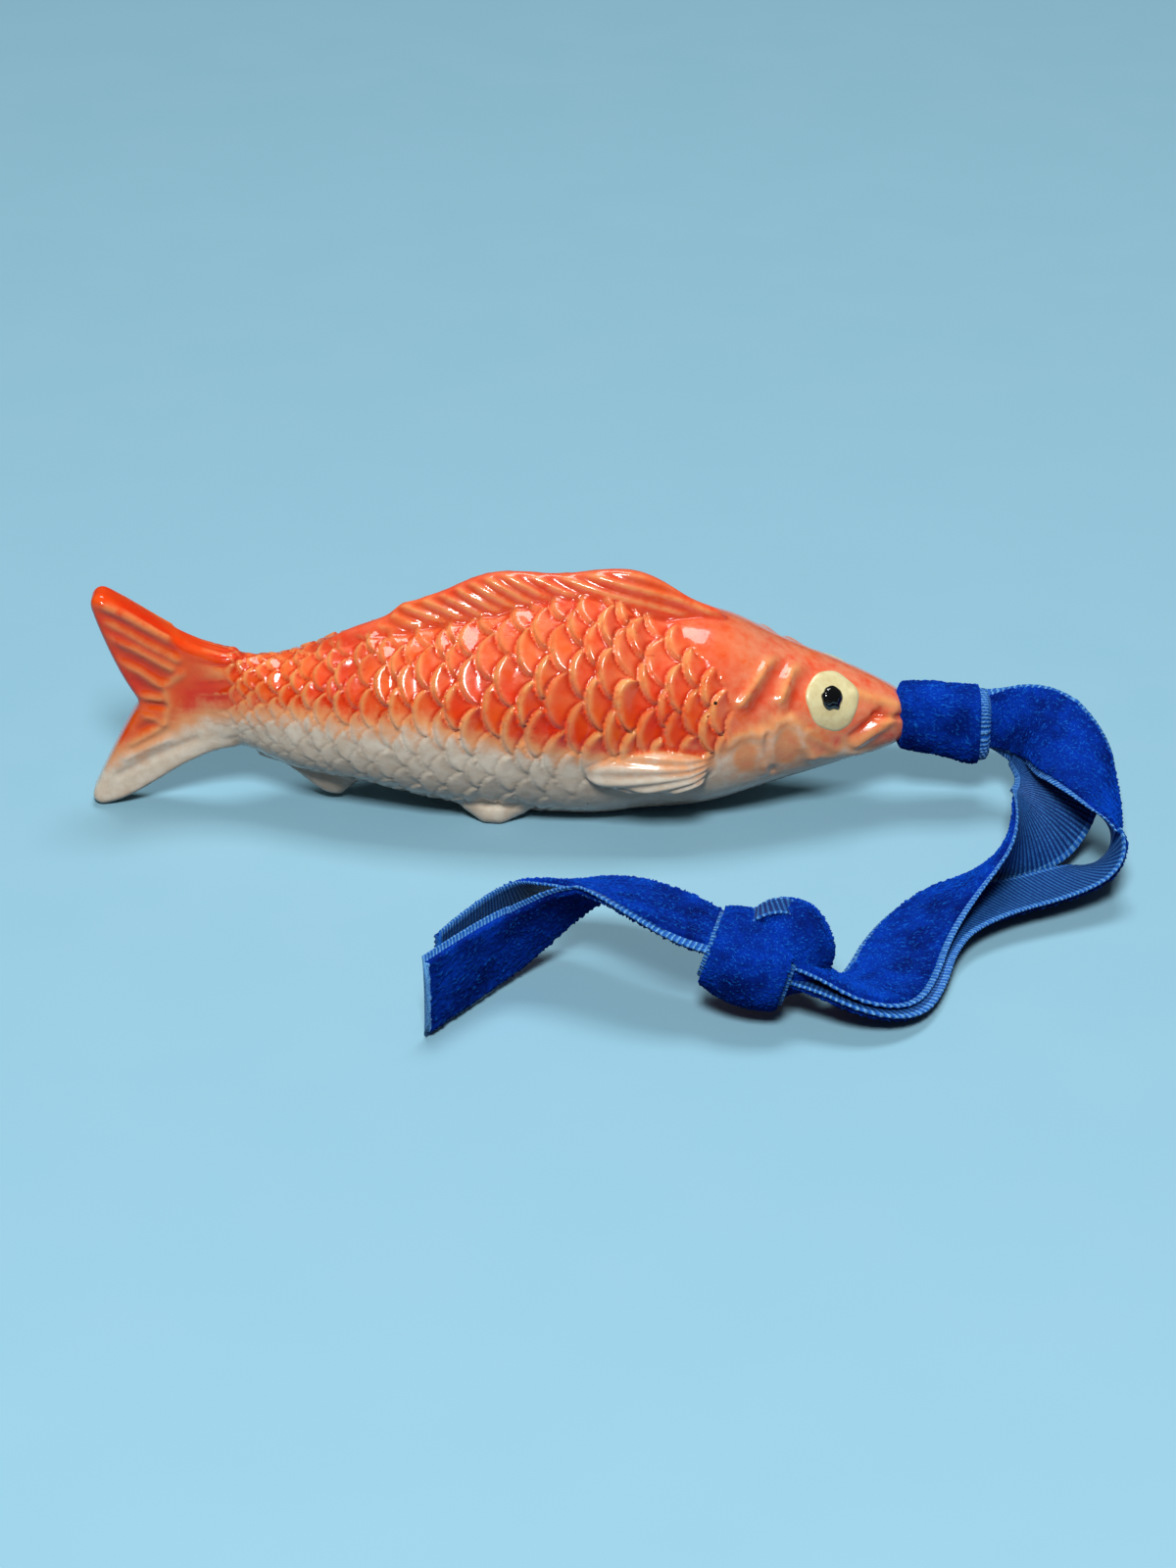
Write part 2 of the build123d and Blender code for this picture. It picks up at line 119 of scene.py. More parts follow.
# Fades by shares: over one scale from its rear edge, over faces turned sideways, and over a patch of glaze
FADE_SHARES = {
    "scale_rise": (0, 0.16), "scale_fall": (0.12, 0.75), "rim_start": (0, 0.08), "rim_end": (0.12, 0.36),
    "rim_upper_highlight": (0.9, -0.2), "scale_gap": (0, 0.24),
    "tail_side": (0.25, 0.65), "head_side": (0.22, 0.58), "dorsal_side": (0.3, 0.75),
    "patch": (0.4, 1.4),
}

# Height of the orange glaze's lower edge along the fish
GLAZE_EDGE = [(-0.049, 0.005), (-0.0456, 0.0067), (-0.0353, 0.0117), (-0.0244, 0.0131), (-0.0097, 0.0139),
              (0.0003, 0.0128), (0.0091, 0.0116), (0.0222, 0.0102), (0.0248, 0.0118), (0.0275, 0.0134),
              (0.0318, 0.0142), (0.034, 0.012), (0.0369, 0.0098), (0.0407, 0.008), (0.046, 0.0066)]
# Orange patches on the gill cover and cheek: place, height, half length, half height and most cream there
GLAZE_PATCHES = [(0.031, 0.0106, 0.0085, 0.0052, 0.58), (0.027, 0.0106, 0.0018, 0.0032, 0.4),
                 (0.0318, 0.0108, 0.0022, 0.0034, 0.34), (0.0362, 0.011, 0.0034, 0.0024, 0.18)]
GLAZE_FADE = 0.0038
# How thin the glaze is on the head and on the back; both are also painted paler as a sheen, the back more so
# towards its top
HEAD_THIN_AND_SHEEN_SHARE = 0.95
BACK_THIN_AND_SHEEN_SHARE = 0.45
GLAZE_DRIFT = 0.0012
GLAZE_DRIFT_SCALE = 95
GLAZE_SCALE_SHIFT = 0.0008

# Creases and ridges in the side view: half width, height, and points along X and up
RELIEF_LINES = {
    "gill_rear_ridge": (0.0006, 0.00042, (0.0306, 0.0203), (0.0294, 0.0198), (0.0284, 0.0189),
                        (0.0264, 0.0169)),
    "gill_rear_fold": (0.0008, -0.0003, (0.0318, 0.02), (0.0304, 0.019), (0.0292, 0.0176), (0.0278, 0.016)),
    "gill_front_ridge": (0.0006, 0.00042, (0.0335, 0.0191), (0.0323, 0.0188), (0.0318, 0.018),
                         (0.031, 0.0166)),
    "gill_front_fold": (0.0007, -0.00024, (0.0346, 0.0186), (0.0333, 0.0178), (0.0325, 0.0164),
                        (0.032, 0.015)),
    "gill_rear_arch": (0.00078, 0.00028, (0.0252, 0.0124), (0.026, 0.0131), (0.0276, 0.0134),
                       (0.0287, 0.0131)),
    "gill_rear_side": (0.00078, 0.0003, (0.0287, 0.0131), (0.0287, 0.011), (0.0294, 0.0078)),
    "gill_slot": (0.00045, -0.00034, (0.0294, 0.0128), (0.0294, 0.0108), (0.0302, 0.0076)),
    "gill_arch": (0.0008, 0.00034, (0.0299, 0.009), (0.0298, 0.0125), (0.0307, 0.0141), (0.032, 0.0143),
                  (0.0329, 0.0131), (0.0336, 0.011), (0.0348, 0.009)),
    "cheek_edge": (0.0006, 0.00018, (0.0343, 0.0124), (0.0369, 0.0098), (0.0407, 0.0078), (0.044, 0.0073)),
    "jaw_edge": (0.00078, 0.0002, (0.0349, 0.0089), (0.0366, 0.0085), (0.0386, 0.0081), (0.0402, 0.0083)),
    "snout_crease": (0.00045, 0.00022, (0.0396, 0.0156), (0.0426, 0.0143), (0.0446, 0.0134)),
    "mouth_slit": (0.00032, -0.0006, (0.042, 0.0131), (0.044, 0.0124), (0.047, 0.0117)),
    "lip_bar": (0.00075, 0.0005, (0.0399, 0.0098), (0.0418, 0.0111), (0.0438, 0.0122)),
    "lip_fold": (0.00045, -0.00034, (0.0394, 0.011), (0.0413, 0.0124), (0.0426, 0.0133)),
    "tail_border": (0.00055, 0.0004, (-0.049, 0.0272), (-0.044, 0.0248), (-0.0389, 0.0217)),
    "tail_groove": (0.0007, -0.0003, (-0.0476, 0.0253), (-0.0436, 0.0234), (-0.0384, 0.0203)),
    "tail_ray_1": (0.00045, 0.00036, (-0.0456, 0.0238), (-0.0442, 0.023), (-0.041, 0.0209), (-0.0378, 0.019)),
    "tail_ray_2": (0.00045, 0.00038, (-0.0463, 0.0222), (-0.0424, 0.0203), (-0.0385, 0.0179)),
    "tail_dip": (0.0007, -0.00026, (-0.0452, 0.0202), (-0.042, 0.0186), (-0.0388, 0.0166)),
    "tail_ray_3": (0.00045, 0.00034, (-0.0446, 0.0188), (-0.0422, 0.0176), (-0.04, 0.0158)),
    "tail_hollow": (0.0007, -0.00026, (-0.0436, 0.0166), (-0.0404, 0.0148)),
    "tail_fork_rim": (0.0005, 0.00034, (-0.043, 0.0144), (-0.04, 0.0141)),
    "tail_fork": (0.0004, -0.0004, (-0.0425, 0.0135), (-0.0396, 0.0131)),
    "tail_root_edge": (0.0005, 0.0003, (-0.0374, 0.0173), (-0.0394, 0.0156), (-0.039, 0.013),
                       (-0.0396, 0.0108)),
    "tail_low_ray_1": (0.00045, 0.00034, (-0.0423, 0.0121), (-0.0398, 0.0109)),
    "tail_low_dip": (0.0005, -0.00022, (-0.0424, 0.0104), (-0.0402, 0.0112)),
    "tail_low_ray_2": (0.00045, 0.00032, (-0.0434, 0.0083), (-0.0403, 0.0102)),
    "tail_low_ray_3": (0.00045, 0.0003, (-0.0442, 0.0064), (-0.0425, 0.0074), (-0.0392, 0.0089)),
    "tail_low_groove": (0.0005, -0.00028, (-0.0452, 0.0042), (-0.041, 0.0066), (-0.0362, 0.0088)),
    "fin_groove": (0.00035, -0.0003, (0.0128, 0.0072), (0.0165, 0.0064), (0.0185, 0.0066)),
}
CREAM_LINES = ["gill_rear_arch", "gill_rear_side", "gill_arch", "jaw_edge"]
CREAM_SHARE = 0.54
LINE_TINT_SHARE = 0.8

# Fin rays: pitch, slope, sway and height
DORSAL_RAY_PITCH = 0.00145
DORSAL_RAY_SLOPE = 0.4
DORSAL_RAY_HEIGHT = 0.00024
DORSAL_SWAY_SHARE = 0.35
DORSAL_SWAY_LENGTH = 0.004
DORSAL_MARGIN = 0.001
PECTORAL_FAN_CENTRE = (0.0275, 0.0102)
PECTORAL_FAN_STEP = math.radians(7.0)
PECTORAL_RAY_HEIGHT = 0.00026
PECTORAL_MARGIN = 0.0006
PECTORAL_CREAM_SHARE = 0.55
RAY_RIM_SHARE = 0.7
RAY_POOL_SHARE = 0.55
# Seams between fins and body
SEAM_POOL_SHARE = 0.7
SEAM_DEPTH = 0.00016
# Hand-made unevenness
WAVE_SCALE = 160
WAVE_HEIGHT = 0.00007

# Eyes
EYE_WIDTH_SHARE = 0.93
EYE_HEIGHT_SHARE = 1.06
EYE_SINK = 0.00015
EYE_SETBACK = 0.009
EYE_TILTS = {"right": math.radians(39), "left": math.radians(26)}
EYE_AXIS_HEIGHT = 0.0116
EYE_START = 0.02
# Discs of an eye: radius, rise, seat, share of unevenness, power of the dome and share of the dish
DISCS = {"eye": (0.0033, 0.00042, 0.0, 0.07, 6, 0.2), "pupil": (0.00135, 0.00085, 0.000336, 0.18, 2.2, 0.0)}
WOBBLE_SCALE = 1.7
WOBBLE_STEP = 999
EYE_RINGS = 26
EYE_SPOKES = 96

# Velvet ribbon: a ribbed tape with a selvage along each edge and a pile on one face
RIBBON_WIDTH = 0.01
TAPE_BACK = -0.00036
LIP_TOP = -0.00006
PILE_TOP = 0.00046
PILE_MARGIN = 0.00075
LIP_ROUND = 0.00012
PILE_SHOULDER = 0.0003
SHOULDER_SHARE = 0.3
PILE_POINTS = 46
PILE_ROUGHNESS = 0.00005
# Tufts that stand out of the pile: share of its points, and height; the tufts are also painted lighter blue
# as highlights
TUFT_SHARE = 0.4
TUFT_HEIGHT = 0.00018
TUFT_LEAST_SHARE = 0.3
STITCH_PITCH = 0.00085
STITCH_HEIGHT = 0.00006
STITCH_SPREAD_SHARE = 0.6
RIB_PITCH = 0.00052
LEAST_CUP = 0.0001
ROUTE_RESOLUTION = 38
RIBBON_SEED = 3
ROUTE_START_X = 0.0482

# Ribbon routes, along X from the ring's outer bar: point of the middle line, and the way across
# the ribbon from its near edge to its far edge. Each half runs from the ring through the knot to its cut end.
FRONT_ROUTE = [
    ((0.0016, -0.00105, 0.0108), (0, 0, 1)),
    ((0.004, -0.00105, 0.0108), (0, 0, 1)),
    ((0.0074, -0.0008, 0.01), (0, 0.2, 1)),
    ((0.0118, -0.0036, 0.0102), (0.25, 0.55, 0.8)),
    ((0.0158, -0.0094, 0.0093), (0.44, 0.75, 0.42)),
    ((0.0188, -0.015, 0.007), (0.3, 0.9, -0.1)),
    ((0.0204, -0.0196, 0.0049), (0.1, 0.92, -0.3)),
    ((0.018, -0.023, 0.003), (0, 0.96, -0.18)),
    ((0.0123, -0.0256, 0.0023), (0, 0.96, -0.18)),
    ((0.0053, -0.0284, 0.0021), (-0.15, 0.97, -0.17)),
    ((-0.0006, -0.0326, 0.0019), (-0.3, 0.95, -0.1)),
    ((-0.0038, -0.0378, 0.0015), (-0.5, 0.86, 0)),
    ((-0.0052, -0.0435, 0.0012), (-0.7, 0.7, 0)),
    ((-0.0072, -0.0486, 0.0014), (-0.6, 0.8, 0)),
    ((-0.0108, -0.051, 0.0028), (-0.3, 0.9, -0.1)),
    ((-0.0152, -0.05, 0.0046), (0, 0.95, -0.2)),
    ((-0.0197, -0.0484, 0.0054), (0, 1, 0)),
    ((-0.0227, -0.0476, 0.0066), (0, 1, 0.1)),
    ((-0.0277, -0.0466, 0.0082), (0, 1, 0.1)),
    ((-0.0337, -0.0438, 0.0098), (0, 1, -0.1)),
    ((-0.0397, -0.0408, 0.009), (0, 0.7, -0.7)),
    ((-0.046, -0.0416, 0.0056), (0, 0.25, -0.97)),
    ((-0.0512, -0.0473, 0.0052), (0, 0, -1)),
    ((-0.056, -0.0537, 0.0051), (0, 0, -1)),
]
BACK_ROUTE = [
    ((0.0016, 0.00105, 0.0108), (0, 0, 1)),
    ((0.004, 0.00105, 0.0108), (0, 0, 1)),
    ((0.0074, 0.0006, 0.01), (0, 0.2, 1)),
    ((0.0124, -0.0024, 0.0092), (0.25, 0.55, 0.8)),
    ((0.015, -0.008, 0.0069), (0.6, 0.6, 0.3)),
    ((0.0135, -0.014, 0.0056), (0.8, 0.3, -0.05)),
    ((0.0096, -0.0196, 0.0056), (0.5, 0.65, -0.33)),
    ((0.0054, -0.025, 0.0048), (0.1, 0.88, -0.4)),
    ((-0.0004, -0.0306, 0.0042), (-0.3, 0.93, -0.2)),
    ((-0.0044, -0.037, 0.0033), (-0.5, 0.86, -0.05)),
    ((-0.0062, -0.043, 0.0028), (-0.7, 0.7, 0)),
    ((-0.0082, -0.0476, 0.003), (-0.6, 0.8, 0)),
    ((-0.0116, -0.0496, 0.0046), (-0.3, 0.93, -0.2)),
    ((-0.0156, -0.049, 0.0067), (0, 0.95, -0.2)),
    ((-0.0197, -0.048, 0.0074), (0, 1, 0)),
    ((-0.0227, -0.0474, 0.0086), (0, 1, 0.1)),
    ((-0.0277, -0.0462, 0.0099), (0, 1, 0.1)),
    ((-0.0337, -0.0432, 0.0116), (0, 1, -0.1)),
    ((-0.0394, -0.0392, 0.011), (0, 0.9, -0.4)),
    ((-0.0452, -0.037, 0.0086), (0, 0.7, -0.7)),
    ((-0.0506, -0.0408, 0.0057), (0, 0.25, -0.97)),
    ((-0.0549, -0.048, 0.0052), (0, 0, -1)),
]

# Share of the ribbon's width where the hitch gathers it, and the route points between which it opens out
GATHER_SHARE = 0.66
GATHER_END = 1.4
OPEN_START = 2.6
# Rise of each half at some of its route points, beside the hitch, before the knot and on the tails
LIFTS = {"front": {1.2: 0.0, 2.2: 0.0014, 3.0: 0.0026, 4.0: 0.0022, 6.0: 0.0, 15.5: 0.0, 17.0: 0.0011,
                   19.0: 0.0013, 20.2: 0.0017, 21.6: 0.0},
         "back": {1.2: 0.0, 2.5: 0.0012, 3.5: 0.0012, 5.0: 0.0, 7.0: 0.0, 9.0: -0.0009, 12.0: -0.0009,
                  13.5: 0.0}}
# Share of the ribbon's width near the knot, by route points from the knot's middle
KNOT_POINTS = {"front": 16, "back": 14}
KNOT_GATHER_SHARES = {-2.6: 1.0, -1.2: 0.62, 1.0: 0.55, 2.4: 1.0}
# Points over which the width and the way across the ribbon are evened out
WIDTH_SPAN = 53
ACROSS_SPANS = {"front": 53, "back": 139}
# Cupping of the ribbon across its width at some of its route points, as half angles
CUP_ANGLES = {"front": {0: 0.5, 3: 0.55, 5: 0.25, 8: 0.06, 30: 0.06},
              "back": {0: 0.4, 3: 0.4, 5: 0.2, 8: 0.05, 30: 0.05}}

# Hitch: stations along X with middle height, half height and half depth
HITCH_STATIONS = [
    (0.0446, 0.011, 0.0029, 0.002), (0.0451, 0.011, 0.0037, 0.003), (0.0466, 0.0109, 0.0039, 0.0032),
    (0.0488, 0.0107, 0.0041, 0.0032), (0.0508, 0.0103, 0.0042, 0.0032), (0.0526, 0.0099, 0.0045, 0.0032),
    (0.0542, 0.0098, 0.0045, 0.0032), (0.0551, 0.0098, 0.0044, 0.0031), (0.0555, 0.0098, 0.0037, 0.0025)]
HITCH_POWER = 2.7
HITCH_AROUND = 170
HITCH_ALONG = 60
HITCH_SELVAGE_SHARE = 0.25
HITCH_WALL = 0.0009
HITCH_SELVAGE_STEP = 0.0003
HITCH_STITCH_TURN = 1.4
HITCH_STITCH_POINTS = 5
HITCH_EVENINGS = 3
HITCH_LEFT_SWEEP = 0.0004
HITCH_SWEEP_POWER = 3

# Knot: loops of ribbon round a core, by centre, way across the ribbon, half depth, half height and cupping
KNOT_CENTRE = (0.0276, -0.0473, 0.0059)
KNOT_CORE = (0.006, 0.0046, 0.0042)
KNOT_FILL = (0.0046, 0.0046, 0.0041)
KNOT_FRONT = ((0.0264, -0.0478, 0.0064), (0.93, -0.2, -0.28), 0.0055, 0.0043, 0.45)
KNOT_REAR = ((0.0302, -0.0462, 0.007), (0.8, 0.52, 0.1), 0.0047, 0.0046, 1.05)
# Fold with its back showing on top of the knot: points, and share of the ribbon's width
KNOT_FOLD = [(0.0258, -0.0464, 0.008), (0.0264, -0.047, 0.0108), (0.0286, -0.047, 0.0121),
             (0.0308, -0.0464, 0.0118), (0.032, -0.046, 0.0095)]
KNOT_FOLD_SHARE = 0.26
KNOT_FOLD_ACROSS = (0.2, 1.0, 0.1)
KNOT_FOLD_CUP = 0.3
KNOT_STEPS = 240
KNOT_SWELL_SHARE = 0.12
KNOT_SWELL_SCALE = 2.2

# Turn of ribbon round the ring, inside the hitch
TURN_RADIUS = 0.00105
TURN_STEPS = 24

# Noises of the materials: scale, detail and roughness
NOISES = {"cloud": (140, 3, 0.5), "mottle": (620, 4, 0.6), "wave": (420, 2, 0.5), "brush": (900, 4, 0.6),
          "spots": (1500, 3, 0.5), "wear": (2200, 4, 0.65), "strokes": (240, 5, 0.65),
          "tufts": (3600, 2, 0.7), "fibres": (9000, 2, 0.6), "yarn": (5200, 2, 0.6), "grain": (60, 3, 0.5)}
# Bumps of the materials: strength and height
BUMPS = {"glaze": (0.22, 0.0006), "eye": (0.15, 0.0004), "wire": (0.2, 0.0002), "pile": (0.5, 0.0004),
         "tape": (0.8, 0.00025)}
# Specks in the glaze: cells, size in a cell, and the least chance that shows one
SPECK_SCALE = 210
SPECK_SIZE_SHARE = 0.045
SPECK_CHANCE_SHARE = 0.9
# Shares of colours that are mixed into others
RED_POOL_SHARE = 0.85
CREAM_POOL_SHARE = 0.3
ORANGE_RIM_SHARE = 0.9
RAGGED_SHARE = 0.5
# Shares of painted highlights on the velvet: glints on specks, and on tufts
GLINT_SHARE = 0.6
TUFT_GLINT_SHARE = 0.6

# Lamps: place, size and power, all aimed at one place
LAMP_TARGET = (0.01, -0.01, 0.0)
LAMPS = {"key": ((0.06, 0.3, 1.04), 0.42, 5.4), "fill": ((-0.02, -0.59, 0.68), 0.2, 6.2)}
WORLD_STRENGTH = 0.05

# Camera and floor
CAMERA_TARGET = (0.00913, 0.0, 0.00194)
CAMERA_ELEVATION = math.radians(28)
CAMERA_DISTANCE = 0.5
CAMERA_LENS = 98.55
CAMERA_SENSOR = 36
CAMERA_NEAR = 0.01
FLOOR_SIZE = 3.0


def srgb(red, green, blue):
    """Linear colour from screen values of 0 to 255."""
    channels = [value / 255 for value in (red, green, blue)]
    linear = [c / 12.92 if c <= 0.04045 else ((c + 0.055) / 1.055) ** 2.4 for c in channels]
    return (*linear, 1.0)


ORANGE = srgb(246, 52, 6)
ORANGE_LIGHT = srgb(252, 98, 28)
# Paler orange of thin glaze, which also serves as a painted sheen on the head and back
ORANGE_THIN_AND_SHEEN = srgb(249, 150, 110)
# Pale rims of thin glaze on ridges, and a painted highlight on the upper side of each scale's rim
ORANGE_RIM = srgb(253, 178, 108)
PEACH = srgb(253, 172, 112)
RED_POOL = srgb(206, 40, 10)
CREAM = srgb(234, 214, 188)
CREAM_LIGHT = srgb(248, 236, 216)
CREAM_POOL = srgb(128, 98, 74)
SPECK = srgb(40, 22, 16)
EYE_CREAM = srgb(244, 235, 182)
EYE_CREAM_THIN = srgb(230, 214, 158)
PUPIL_BLACK = srgb(14, 15, 16)
PUPIL_GREY = srgb(34, 36, 34)
WIRE_DARK = srgb(52, 42, 34)
WIRE_WORN = srgb(110, 88, 66)
VELVET_DEEP = srgb(0, 14, 86)
VELVET_BLUE = srgb(0, 57, 184)
# Lighter blue painted on the velvet as glints and highlights
VELVET_PAINTED_GLINT = srgb(26, 124, 230)
VELVET_SHEEN = srgb(10, 96, 255)
# Tape and selvage colours: darker for the valleys between ribs as painted shade, lighter for the rib crests
# as painted highlight
TAPE_VALLEY_SHADE = srgb(4, 44, 116)
TAPE_RIB_HIGHLIGHT = srgb(56, 132, 210)
SELVAGE_VALLEY_SHADE = srgb(14, 94, 196)
SELVAGE_RIB_HIGHLIGHT = srgb(124, 198, 250)
TAPE_SHEEN = srgb(90, 160, 255)
FLOOR_BLUE = srgb(149, 199, 220)
FLOOR_GRAIN = srgb(151, 200, 221)
FLOOR_BOUNCE = srgb(80, 88, 96)
WORLD_GREY = srgb(236, 238, 240)


def smoothstep(low, high, value):
    """0 below low, 1 above high and smooth between them, also where low is above high."""
    share = np.clip((value - low) / (high - low), 0, 1)
    return share * share * (3 - 2 * share)


def fade(name, value):
    """0 where a fade starts, 1 where it is full."""
    return smoothstep(*(FADES | FADE_SHARES)[name], value)


def add_object(name, data):
    """New object of a mesh, curve, lamp or camera, in the scene."""
    obj = bpy.data.objects.new(name, data)
    bpy.context.scene.collection.objects.link(obj)
    return obj


def rows_of(items, key):
    """A value of each vertex or normal, as rows of three."""
    rows = np.empty(len(items) * 3)
    items.foreach_get(key, rows)
    return rows.reshape(-1, 3)


def shade_smooth(obj):
    """Smooth shading on every face."""
    obj.data.polygons.foreach_set("use_smooth", [True] * len(obj.data.polygons))


def form_object(name, form, *materials):
    """New smooth object of a form, which is freed."""
    mesh = bpy.data.meshes.new(name)
    form.to_mesh(mesh)
    form.free()
    for material in materials:
        mesh.materials.append(material)
    piece = add_object(name, mesh)
    shade_smooth(piece)
    return piece


def from_table(table, places):
    """Values of a table at places between its keys."""
    return np.interp(places, list(table), list(table.values()))


def unit(rows):
    """Rows scaled to a length of 1."""
    return rows / np.linalg.norm(rows, axis=1)[:, None]


def noise_at(points, scale, kind=noise.noise):
    """Noise at each of the points."""
    return np.array([kind(point) for point in (points * scale).tolist()])


# Shader helpers
class Shader:
    """Node material that is built by short calls."""

    def __init__(self, name):
        self.material = bpy.data.materials.new(name)
        self.material.use_nodes = True
        self.tree = self.material.node_tree
        self.surface = self.tree.nodes["Principled BSDF"]
        self.place = self.node("ShaderNodeTexCoord").outputs["Object"]

    def node(self, kind, inputs=(), **settings):
        """New node with settings, and with inputs as (socket, value or output) pairs."""
        made = self.tree.nodes.new(kind)
        for key, value in settings.items():
            setattr(made, key, value)
        for socket, value in inputs:
            self.feed(made.inputs[socket], value)
        return made

    def feed(self, socket, value):
        """Links an output to a socket, or sets the socket's value."""
        if isinstance(value, bpy.types.NodeSocket):
            self.tree.links.new(value, socket)
        else:
            socket.default_value = value

    def set(self, **values):
        """Sets or links sockets of the surface shader, with _ for a space in a name."""
        for key, value in values.items():
            self.feed(self.surface.inputs[key.replace("_", " ")], value)

    def math(self, operation, first, second=0.0):
        """Output of a math node."""
        return self.node("ShaderNodeMath", [(0, first), (1, second)], operation=operation).outputs[0]

    def times(self, first, second):
        """Output of a math node that multiplies."""
        return self.math("MULTIPLY", first, second)

    def plus(self, first, second, share):
        """First value plus a share of the second."""
        return self.math("ADD", first, self.times(second, share))

    def mix(self, share, first, second):
        """Colour that goes from first to second with share."""
        inputs = [("Factor", share), (6, first), (7, second)]
        return self.node("ShaderNodeMix", inputs, data_type="RGBA").outputs[2]

    def ramp(self, value, low, high):
        """Share from 0 to 1 as value goes from low to high."""
        inputs = [("Value", value), ("From Min", low), ("From Max", high)]
        return self.node("ShaderNodeMapRange", inputs, interpolation_type="SMOOTHSTEP").outputs[0]

    def noise(self, name):
        """Value of one of the noises, at places on the object, which sits at the frame's origin."""
        scale, detail, roughness = NOISES[name]
        inputs = [("Vector", self.place), ("Scale", scale), ("Detail", detail), ("Roughness", roughness)]
        return self.node("ShaderNodeTexNoise", inputs).outputs[0]

    def bump(self, height, name):
        """Normal from a height, by one of the bumps."""
        strength, distance = BUMPS[name]
        inputs = [("Height", height), ("Strength", strength), ("Distance", distance)]
        return self.node("ShaderNodeBump", inputs).outputs[0]


def glaze_material():
    """Orange glaze over a cream belly, thin on ridges and pooled in hollows, with a painted sheen on the head
    and the top of the back and painted highlights on the scales' upper rims.
    """
    shader = Shader("fish_glaze")
    masks = shader.node("ShaderNodeAttribute", attribute_name="glaze_masks")
    rim, pool, cream = shader.node("ShaderNodeSeparateColor", [("Color", masks.outputs["Color"])]).outputs
    cloud = shader.noise("cloud")
    mottle = shader.noise("mottle")
    orange = shader.mix(shader.ramp(cloud, 0.35, 0.68), ORANGE, ORANGE_LIGHT)
    # Thin glaze with painted sheen: paler orange on the head and towards the top of the back
    thin_and_sheen = shader.times(masks.outputs["Alpha"], shader.ramp(mottle, 0.1, 0.7))
    orange = shader.mix(thin_and_sheen, orange, ORANGE_THIN_AND_SHEEN)
    orange = shader.mix(shader.times(pool, RED_POOL_SHARE), orange, RED_POOL)
    # Pale rims: thin glaze on ridges, plus a painted highlight along each scale's upper rim
    rim_share = shader.times(rim, shader.ramp(mottle, 0.15, 0.6))
    orange = shader.mix(shader.times(rim_share, ORANGE_RIM_SHARE), orange, ORANGE_RIM)
    pale = shader.mix(shader.ramp(mottle, 0.3, 0.7), CREAM, CREAM_LIGHT)
    pale = shader.mix(shader.times(pool, CREAM_POOL_SHARE), pale, CREAM_POOL)
    ragged = shader.plus(cream, shader.math("SUBTRACT", mottle, 0.5), RAGGED_SHARE)
    thinned = shader.mix(shader.ramp(ragged, 0.05, 0.50), orange, PEACH)
    colour = shader.mix(shader.ramp(ragged, 0.38, 0.92), thinned, pale)
    cells = shader.node("ShaderNodeTexVoronoi", [("Vector", shader.place), ("Scale", SPECK_SCALE)])
    chance = shader.node("ShaderNodeSeparateColor", [("Color", cells.outputs["Color"])]).outputs[0]
    dot = shader.math("LESS_THAN", cells.outputs["Distance"], SPECK_SIZE_SHARE)
    speck = shader.times(dot, shader.math("GREATER_THAN", chance, SPECK_CHANCE_SHARE))
    colour = shader.mix(speck, colour, SPECK)
    shader.set(Base_Color=colour, Coat_Weight=0.55, Coat_Roughness=0.04, Specular_IOR_Level=0.20)
    rough = shader.plus(0.16, shader.ramp(mottle, 0.35, 0.75), 0.16)
    wave = shader.plus(shader.noise("wave"), mottle, 0.35)
    shader.set(Roughness=rough, Normal=shader.bump(wave, "glaze"))
    return shader.material


def mottled_material(name, mottling, band, first, second, rough, bump=None, **values):
    """Material of two colours, mixed by a noise that also changes its roughness and height."""
    shader = Shader(name)
    mottle = shader.noise(mottling)
    shader.set(Base_Color=shader.mix(shader.ramp(mottle, *band), first, second), **values)
    shader.set(Roughness=shader.plus(rough[0], mottle, rough[1]))
    if bump:
        shader.set(Normal=shader.bump(mottle, bump))
    return shader.material


def pile_material():
    """Velvet pile: deep blue, with a lighter blue painted as highlights on its tufts and on scattered specks.
    """
    shader = Shader("velvet_pile")
    strokes = shader.noise("strokes")
    tuft_glint = shader.node("ShaderNodeAttribute", attribute_name="pile_tip_glint").outputs["Fac"]
    tufts = shader.noise("tufts")
    fibres = shader.noise("fibres")
    colour = shader.mix(shader.ramp(strokes, 0.25, 0.75), VELVET_DEEP, VELVET_BLUE)
    # Painted glints: specks of lighter blue where two noises peak together
    glint = shader.times(shader.ramp(tufts, 0.58, 0.70), shader.ramp(strokes, 0.42, 0.62))
    colour = shader.mix(shader.times(glint, GLINT_SHARE), colour, VELVET_PAINTED_GLINT)
    # Painted highlight on the tufts that stand out of the pile
    colour = shader.mix(shader.times(shader.ramp(tuft_glint, 0.45, 1.0), TUFT_GLINT_SHARE), colour, VELVET_PAINTED_GLINT)
    shader.set(Base_Color=colour, Roughness=0.8, Specular_IOR_Level=0.06, Sheen_Weight=0.8,
               Sheen_Roughness=0.3, Sheen_Tint=VELVET_SHEEN)
    height = shader.plus(tufts, fibres, 0.6)
    shader.set(Normal=shader.bump(height, "pile"))
    return shader.material


